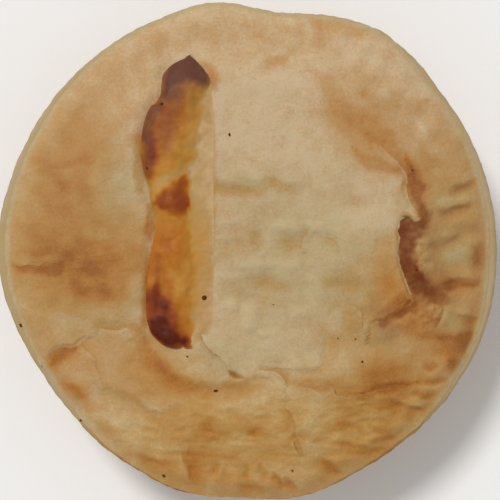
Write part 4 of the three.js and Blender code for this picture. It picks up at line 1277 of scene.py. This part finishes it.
short_pastry, tree, shader = start_material(
    "short_pastry_tin_baked", IOR=PASTRY_IOR, Specular_IOR_Level=DRY_SHINE)
where = add(tree, "TexCoord").outputs["Object"]
sand, fleck, toasting = (
    add(tree, "TexNoise", inputs={
        "Vector": where, "Scale": 1 / (size * MM), "Detail": detail}).outputs["Fac"]
    for size, detail in ((SAND, 3), (FLECK, 4), (TOASTING, 3)))
brown = add(tree, "Attribute", attribute_name="browned").outputs["Fac"]
for noise, shift in ((fleck, FLECK_SHIFT), (toasting, TOASTING_SHIFT)):
    uneven = add(tree, "MapRange", inputs={
        "Value": noise, **NOISE_RANGE, "To Min": -shift, "To Max": shift})
    brown = add(tree, "Math", operation="ADD", inputs={0: brown, 1: uneven.outputs[0]}).outputs[0]
tin_crust = add(tree, "ValToRGB", inputs={"Fac": brown}, stops=[
    (0, "#b59d77"), (1, "#8f5726"), (0.25, "#b3986a"), (0.5, "#b48b4f"), (0.75, "#a87438")])
tree.links.new(tin_crust.outputs["Color"], shader.inputs["Base Color"])
gloss = add(tree, "MapRange", inputs={"Value": brown, "To Min": PALE_DULL, "To Max": BROWN_DULL})
tree.links.new(gloss.outputs[0], shader.inputs["Roughness"])
bumps = add(tree, "Bump", inputs={"Height": sand, "Strength": SAND_BUMPS, "Distance": SAND_RISE})
tree.links.new(bumps.outputs["Normal"], shader.inputs["Normal"])
pastry_case.data.materials.append(short_pastry)
print(short_pastry.name, "has", len(tree.nodes), "nodes")

# %% [markdown]
# The cheese melted out of its slot and set again. A pale shelf fills the slot from edge to edge, level
# with the crust, and on it stands the toasted body, a ridge with its own uneven outline. It could be two
# meshes, but one sheet with a swelling keeps the foot of the ridge soft.

# %% Lay the cheese between the slot's edges
CHEESE_COLUMNS, CHEESE_ROWS, CHEESE_LAYERS = 80, 320, 2
CHEESE_SPREAD = 0.45  # how far the melted cheese fills the slot beyond the model's strip
POINTED = (0.95, 1)  # the share of its length over which it runs to a point

cheese = rolled_sheet(CHEESE_COLUMNS, CHEESE_ROWS, CHEESE_LAYERS)
u, v, depth = places(cheese)
across, along = (u + 1) / 2, (v + 1) / 2
(left_x, left_y), (right_x, right_y) = along_line(left_edge, along), along_line(right_edge, along)
spread = CHEESE_SPREAD * (1 - step(along, *POINTED))
cheese_x = left_x + (right_x - left_x) * across + spread * u
cheese_y = left_y + (right_y - left_y) * across + spread * v

# %% [markdown]
# The ridge is steep on the left, where it pushed up the pastry, and sinks slowly into the shelf on the
# right. Its outline is ragged, and two pinches cross it where the melted cheese drew together.

# %% The ridge's outline and rise
BODY_LEFT = [
    (-13, 42.6), (-15.2, 40.9), (-18, 38.9), (-18.4, 36.4), (-18.9, 33.3), (-20.1, 31.2), (-21.6, 30),
    (-22.8, 26.2), (-23.1, 22.3), (-22.8, 18.3), (-22, 15.9), (-21, 13.9), (-20.8, 11.7), (-20.9, 10.4),
    (-20, 8.4), (-19.6, 6), (-20.2, 3.5), (-20.8, 0), (-21.4, -4.6), (-21.9, -8), (-22, -11.2),
    (-21.8, -15), (-21, -17.4), (-19.5, -19.4), (-17.8, -20.6), (-15.5, -20.9), (-14.4, -20.4),
    (-13.1, -21.2)]
BODY_RIGHT = [
    (-12.4, -19.6), (-11.4, -15.6), (-10.9, -7), (-11, -1.3), (-11.4, 3), (-12, 7), (-11.6, 9.9), (-12, 13),
    (-12.2, 17), (-10.9, 19.6), (-10.2, 24), (-9.8, 28.4), (-9, 33.4), (-8.2, 36.8), (-9.5, 39.7),
    (-12.3, 43.2)]
RIDGE_RISE, RIDGE_LEFT, RIDGE_RIGHT = 1.9, 2.2, 5.5  # height, and the ways in over which each side rises
BODY_OVERHANG = 0.9  # on the left it swelled up to the crust
BODY_RAGGED_X, BODY_RAGGED_Y = [Swell(2, 0.25, 71)], [Swell(2, 0.25, 72)]
LUMPS = [Swell(7, 0.35, 73), Swell(2.8, 0.16, 74)]
PINCHES = [Spot(-17, 15.6, 9, 1.9, 20, 0.35), Spot(-16, 5, 9, 2, 0, 0.25)]

body_left, body_right = smooth_line(BODY_LEFT), smooth_line(BODY_RIGHT)
ragged_x = cheese_x + rolling(BODY_RAGGED_X, cheese_x, cheese_y)
ragged_y = cheese_y + rolling(BODY_RAGGED_Y, cheese_x, cheese_y)
side = np.sign(inside(np.vstack([body_left, body_right]), ragged_x, ragged_y))
from_left = np.maximum(0, side * gap_to(body_left, ragged_x, ragged_y) + BODY_OVERHANG)
from_right = np.where(from_left > 0, gap_to(body_right, ragged_x, ragged_y), 0)
swelling = np.sqrt(1 - (1 - np.minimum(1, from_left / RIDGE_LEFT)) ** 2) * step(from_right, 0, RIDGE_RIGHT)
ridge = swelling * (RIDGE_RISE + rolling(LUMPS, cheese_x, cheese_y) - spotted(PINCHES, cheese_x, cheese_y))

# %% [markdown]
# The shelf follows the crust beside it, a hair lower, and its edge is tucked a little further down. Only
# at its lower right end has it run onto the crust.

# %% Set the cheese into the slot
CHEESE_SET, CHEESE_TUCK = 0.05, 0.12  # how far the shelf lies below the crust, and its edge below that
TUCKED = (-CHEESE_SPREAD, 3 * CHEESE_SPREAD)  # the way in from the slot's edge over which the tuck ends
CHEESE_LAP, LAPPED, LAPPED_SIDE = 0.05, (-16, -6), (-16, -12)  # where it lies on the crust, up and right
DIMPLES = [Swell(1.1, 0.05, 75), Swell(3, 0.06, 76)]

beside = crust_at(cheese_x, cheese_y)
tuck = CHEESE_SET + CHEESE_TUCK * (1 - step(beside.into_slot, *TUCKED))
lifted = CHEESE_SET + CHEESE_TUCK + CHEESE_LAP
tuck -= lifted * (1 - step(cheese_y, *LAPPED)) * step(cheese_x, *LAPPED_SIDE)
cheese_top = beside.height - tuck + ridge + rolling(DIMPLES, cheese_x, cheese_y)
cheese_z = cheese_top + (SLOT_FLOOR - cheese_top) * -depth / CHEESE_LAYERS
print("cheese stands", (cheese_z.max() - SLOT_FLOOR).round(1), "mm above the slot's floor")

# %% [markdown]
# Toasting takes cheese from straw through orange to red brown. As on the lid, spots and outlined patches
# with wandering borders say where. The margin is the part of the shelf that shows beside the ridge.

# %% Where the cheese is toasted
BODY_TOAST = 0.27
TOASTED = {
    "upper ridge, left": Spot(-20.6, 25, 3.8, 9, -10, 0.28),
    "below the tip": Spot(-16, 30, 3.6, 6, 0, 0.24),
    "upper ridge, right": Spot(-12, 26, 1.8, 5, 0, -0.1),
    "orange middle": Spot(-16.5, 2, 5, 6.5, 0, 0.22),
    "lower left flank": Spot(-20.2, -5, 3, 6.5, 5, 0.26),
    "above the burnt foot": Spot(-17.4, -13, 3.8, 5, 28, 0.26),
}
MARGIN = {
    "beside the lower ridge": Spot(-11.4, -2, 3.2, 15, 0, 0.22),
    "beside the upper ridge": Spot(-9.4, 31, 1.2, 6, 0, 0.08),
    "beside the tip": Spot(-9.6, 38, 1.6, 3, 0, 0.3),
}
TOAST_PATCHES = {
    "left flank": Patch(0.28, 1.2, [
        (-22.8, 25), (-23.4, 20), (-22.4, 15), (-20.8, 15), (-20, 19.6), (-20.8, 25)]),
    "dark patch": Patch(0.4, 0.9, [
        (-12.4, 17.2), (-14.2, 16.4), (-17, 13.6), (-21.2, 10.4), (-19.6, 8.8), (-15, 7.1), (-13, 7.6),
        (-12.4, 10)]),
    "above the burnt foot": Patch(0.36, 1.8, [
        (-23, -9.6), (-23, -18), (-18, -22), (-13.4, -21), (-14.6, -17), (-16.6, -13.6), (-18.4, -10.4),
        (-20.4, -8)]),
    "burnt foot": Patch(0.8, 2.2, [
        (-23, -14.6), (-22, -18.6), (-18, -21.4), (-13, -21.6), (-13.3, -19.4), (-17, -16),
        (-18.8, -14.4)]),
}
STRAW = {
    "band below the upper ridge": Patch(0.13, 0.9, [
        (-21.4, 14.8), (-18, 16.6), (-12.4, 18.7), (-12.4, 17.4), (-17, 14.8), (-20.6, 12.6)]),
}
print(len(TOASTED) + len(TOAST_PATCHES), "toasted places on the cheese")

# %% [markdown]
# The upper end stood out of the slot and charred, and from it a dark haze runs down the left flank.

# %% Where the cheese is charred
CHARRED = {
    "tip": Patch(0.95, 1.8, [
        (-13, 44.6), (-18.8, 40.6), (-20.2, 33), (-18.2, 31.6), (-15.8, 34.6), (-12, 35.8), (-8, 35),
        (-7.6, 39)]),
    "left of the tip": Patch(0.8, 1.7, [
        (-19, 33.4), (-22.4, 31), (-24, 26), (-23.4, 22.6), (-22, 22.6), (-21.4, 24.6), (-20.4, 27.4),
        (-18.2, 31)]),
    "left flank": Patch(0.42, 1, [
        (-24, 25), (-24, 18), (-22.6, 15.2), (-21.4, 16.4), (-20.9, 20), (-20.8, 25)]),
    "below the tip, left": Patch(0.76, 1.8, [
        (-19.4, 36.6), (-14, 36.6), (-13.4, 33.4), (-15, 31.6), (-18.6, 31.4), (-19.6, 33)]),
    "haze below the tip": Patch(0.42, 2.2, [
        (-19, 36), (-8.6, 36.5), (-9.6, 33.8), (-14, 33.4), (-19, 31)]),
    "haze over the upper ridge": Patch(0.34, 2.6, [
        (-20, 33), (-10, 35), (-12, 31), (-15, 28), (-16.4, 21), (-19.6, 20)]),
}
print(len(CHARRED), "charred places")

# %% [markdown]
# The ridge's colour ends crisply on its left, where it stands steep, and at its two burnt ends. Between
# them its right side is soft and strays. Near the slot's edge the shelf takes on the colour of the dough.

# %% Toast the cheese
TOAST_X = [Swell(4, 0.5, 81), Swell(1.6, 0.45, 82)]
TOAST_Y = [Swell(4, 0.5, 83), Swell(1.6, 0.45, 84)]
TOAST_MOTTLE, DRIP_STRETCH = [Swell(1.8, 0.07, 85)], 2.5  # melted cheese ran along the strip
CRISP_SIDE, SOFT_SIDE = 0.4, 1.6  # how far in the colour is full on a crisp and on a soft side
SIDE_STRAY = [Swell(3.4, 0.8, 86), Swell(1.2, 0.35, 87)]
TIP_FROM, FOOT_FROM = (32, 36), (14, 18)  # the ways up and down where both sides are crisp
FADING = (-0.7, 0.2)  # the way in from the slot's edge over which the shelf's colour comes

wild_x = cheese_x + rolling(TOAST_X, cheese_x, cheese_y)
wild_y = cheese_y + rolling(TOAST_Y, cheese_x, cheese_y)
crisp = step(cheese_y, *TIP_FROM) + step(-cheese_y, *FOOT_FROM)
stray = (1 - np.minimum(1, crisp)) * np.abs(rolling(SIDE_STRAY, cheese_x, cheese_y))
on_right = step(from_right - stray, 0, SOFT_SIDE + (CRISP_SIDE - SOFT_SIDE) * crisp)
on_body = step(from_left, 0, CRISP_SIDE) * on_right
toast = BODY_TOAST + spotted(TOASTED.values(), wild_x, wild_y)
toast += patched(TOAST_PATCHES.values(), wild_x, wild_y)
toast += rolling(TOAST_MOTTLE, cheese_x, cheese_y / DRIP_STRETCH) - patched(STRAW.values(), wild_x, wild_y)
margin = spotted(MARGIN.values(), cheese_x, cheese_y) * step(beside.into_slot, *FADING)
cheese_strip = bake(
    cheese, "toasted_cheese_strip", cheese_x, cheese_y, cheese_z, "toasted_cheese", ["cheese_strip"],
    toasted=margin + on_body * (toast - margin),
    charred=patched(CHARRED.values(), wild_x, wild_y) * on_body)

# %% [markdown]
# Cheddar melts smooth and oily, so to the eye it shines a little where pastry doesn't. Its bubbles dry
# out and are duller, and char looks purple beside the orange.

# %% Cheddar, melted and toasted
BUBBLE, MOTTLE = 0.9, 2.6  # sizes of the fat's bubbles and of the colour's mottling, in mm
MOTTLE_SHIFT, CHAR = 0.055, "#5f382f"
CHEESE_IOR, OILY_SHINE = 1.46, 0.16
OILY_ROUGH, DRY_ROUGH = 0.42, 0.62
BUBBLE_BUMPS, BUBBLE_RISE = 0.3, 0.2 * MM

melted_cheese, tree, shader = start_material(
    "cheddar_melted_toasted", IOR=CHEESE_IOR, Specular_IOR_Level=OILY_SHINE)
where = add(tree, "TexCoord").outputs["Object"]
mottle, bubble = (
    add(tree, "TexNoise", inputs={
        "Vector": where, "Scale": 1 / (size * MM), "Detail": detail}).outputs["Fac"]
    for size, detail in ((MOTTLE, 5), (BUBBLE, 2)))
is_toasted, is_charred = (
    add(tree, "Attribute", attribute_name=mark).outputs["Fac"] for mark in ("toasted", "charred"))
uneven = add(tree, "MapRange", inputs={
    "Value": mottle, **NOISE_RANGE, "To Min": -MOTTLE_SHIFT, "To Max": MOTTLE_SHIFT})
toasting = add(tree, "Math", operation="ADD", inputs={0: is_toasted, 1: uneven.outputs[0]})
rind = add(tree, "ValToRGB", inputs={"Fac": toasting.outputs[0]}, stops=[
    (0, "#c7a578"), (1, "#571f0e"), (0.1, "#b6915a"), (0.27, "#bd8739"), (0.48, "#b36d20"),
    (0.75, "#8c4016")])
burnt = add(tree, "MixRGB", inputs={
    "Fac": is_charred, "Color1": rind.outputs["Color"], "Color2": linear(CHAR)})
tree.links.new(burnt.outputs["Color"], shader.inputs["Base Color"])
gloss = add(tree, "MapRange", inputs={"Value": bubble, "To Min": OILY_ROUGH, "To Max": DRY_ROUGH})
tree.links.new(gloss.outputs[0], shader.inputs["Roughness"])
bumps = add(tree, "Bump", inputs={"Height": bubble, "Strength": BUBBLE_BUMPS, "Distance": BUBBLE_RISE})
tree.links.new(bumps.outputs["Normal"], shader.inputs["Normal"])
cheese_strip.data.materials.append(melted_cheese)
print(melted_cheese.name, "has", len(tree.nodes), "nodes")

# %% [markdown]
# A few burnt crumbs from the oven stick to the crust. They could be dots of colour, but from the side a
# dot is flat. Each is a small lump, pressed flat and half sunk in the crust or cheese that carries it.

# %% Burnt crumbs
Crumb = namedtuple("Crumb", "x y wide tall tilt")
CRUMBS = [
    Crumb(-4.3, 24.9, 0.22, 0.45, 10), Crumb(-9.8, -10.6, 0.6, 0.55, 30), Crumb(-50.3, -16.8, 0.4, 0.5, 40),
    Crumb(-37.1, -37.7, 0.35, 0.3, 20), Crumb(-18.8, -49.8, 0.35, 0.5, 20),
    Crumb(-7.3, -30.9, 0.5, 0.3, 10), Crumb(-13.5, -23.4, 0.2, 0.18, 0),
    Crumb(24.6, -24.5, 0.26, 0.26, 0), Crumb(9.4, -48.5, 0.35, 0.2, -40),
    Crumb(35.6, 17.2, 0.22, 0.22, 0), Crumb(36.5, -4.6, 0.25, 0.22, 0), Crumb(-19, 31.5, 0.45, 0.35, 0),
    Crumb(5.2, -12.1, 0.14, 0.14, 0), Crumb(19.3, -19.4, 0.15, 0.15, 0), Crumb(23.1, -19.6, 0.17, 0.17, 0),
    Crumb(-22.2, 17.6, 0.3, 0.3, 0)]
CRUMB_RISE, CRUMB_ROUNDS = 0.22, 2  # height above the crust, and subdivisions of the ball it starts from
CRUMB_X, CRUMB_Y = [Swell(0.5, 0.08, 91)], [Swell(0.5, 0.08, 92)]

carriers = [BVHTree.FromObject(piece, bpy.context.evaluated_depsgraph_get())
            for piece in (pastry_lid, pastry_case, cheese_strip)]
burnt_crumbs = bmesh.new()
for crumb in CRUMBS:
    above = Vector((crumb.x, crumb.y, 2 * SEAM)) * MM
    hits = [carrier.ray_cast(above, Vector((0, 0, -1)))[0] for carrier in carriers]
    ground = max(hit.z for hit in hits if hit) / MM
    shape = Matrix.LocRotScale(
        Vector((crumb.x, crumb.y, ground)), Matrix.Rotation(math.radians(crumb.tilt), 3, "Z"),
        Vector((crumb.wide, crumb.tall, CRUMB_RISE)))
    bmesh.ops.create_icosphere(burnt_crumbs, subdivisions=CRUMB_ROUNDS, radius=1, matrix=shape)
crumb_x, crumb_y, crumb_z = places(burnt_crumbs)
crumb_x = crumb_x + rolling(CRUMB_X, crumb_x, crumb_y + crumb_z)
crumb_y = crumb_y + rolling(CRUMB_Y, crumb_x + crumb_z, crumb_y)
crumb_piece = bake(burnt_crumbs, "burnt_crumbs", crumb_x, crumb_y, crumb_z, "lid_pastry")

# %% [markdown]
# Crumbs of dough that burnt to charcoal are dry and take in most light. To the eye they are near black,
# with a little brown left, and have no shine.

# %% Burnt crumb
CHARCOAL_ROUGH = 0.8

burnt_crumb, tree, shader = start_material(
    "burnt_crumb", IOR=PASTRY_IOR, Roughness=CHARCOAL_ROUGH, Specular_IOR_Level=DRY_SHINE)
where = add(tree, "TexCoord").outputs["Object"]
ash = add(tree, "TexNoise", inputs={"Vector": where, "Scale": 1 / (GRAIN * MM), "Detail": 2})
soot = add(tree, "ValToRGB", inputs={"Fac": ash.outputs["Fac"]}, stops=[(0.3, "#46200f"), (0.7, "#643018")])
tree.links.new(soot.outputs["Color"], shader.inputs["Base Color"])
crumb_piece.data.materials.append(burnt_crumb)
print(len(CRUMBS), "burnt crumbs")

# %% [markdown]
# The pie stands on a plain floor of matt white paper, which has no shine to draw the eye. A modelled
# table would only distract from the pie.

# %% Floor
FLOOR_SIZE, PAPER_ROUGH = 3, 0.9

floor_sheet = bmesh.new()
bmesh.ops.create_grid(floor_sheet, x_segments=1, y_segments=1, size=FLOOR_SIZE / 2)
floor_mesh = bpy.data.meshes.new("floor")
floor_sheet.to_mesh(floor_mesh)
floor_sheet.free()
floor = bpy.data.objects.new("floor", floor_mesh)
bpy.context.scene.collection.objects.link(floor)
pale_floor, tree, shader = start_material("matt_white_paper", Roughness=PAPER_ROUGH)
shader.inputs["Base Color"].default_value = linear("#f9f8f6")
floor_mesh.materials.append(pale_floor)

# %% [markdown]
# A wide, hazy sun beyond the top of the picture shows the folds. A lamp near the pie could do so too, but
# would light its near side more. An even white world keeps the shadows open. Colours are shown as they
# are, without a film look.

# %% Light
SUN_PLACE, SUN_WIDTH, SUN_POWER = Vector((-0.28, 0.42, 0.87)), math.radians(14), 1.7
WORLD_LIGHT = 0.462

lamp = bpy.data.objects.new("soft_daylight", bpy.data.lights.new("soft_daylight", "SUN"))
lamp.data.energy, lamp.data.angle = SUN_POWER, SUN_WIDTH
lamp.location = SUN_PLACE
lamp.rotation_euler = (-SUN_PLACE).to_track_quat("-Z", "Y").to_euler()
bpy.context.scene.collection.objects.link(lamp)
world = bpy.data.worlds.new("white_room")
world.use_nodes = True
world.node_tree.nodes["Background"].inputs["Strength"].default_value = WORLD_LIGHT
world.node_tree.nodes["Background"].inputs["Color"].default_value = linear("#ffffff")
bpy.context.scene.world = world
bpy.context.scene.view_settings.view_transform = "Standard"

# %% [markdown]
# The camera looks straight down, with a long lens from far enough that the high middle isn't enlarged.
# The pie fills the square frame, so its distance follows from the width that the picture covers.

# %% Camera
PICTURE_WIDTH = 110.2  # what the picture's width covers at the height of the rim
PICTURE_MIDDLE = (0.15, -0.2)
LENS, SENSOR = 150, 36

camera = bpy.data.objects.new("camera", bpy.data.cameras.new("camera"))
camera.data.lens, camera.data.sensor_width = LENS, SENSOR
away = PICTURE_WIDTH * LENS / SENSOR
camera.location = Vector((*PICTURE_MIDDLE, SEAM + away)) * MM
bpy.context.scene.collection.objects.link(camera)
bpy.context.scene.camera = camera
print("camera", round(away), "mm above the seam")
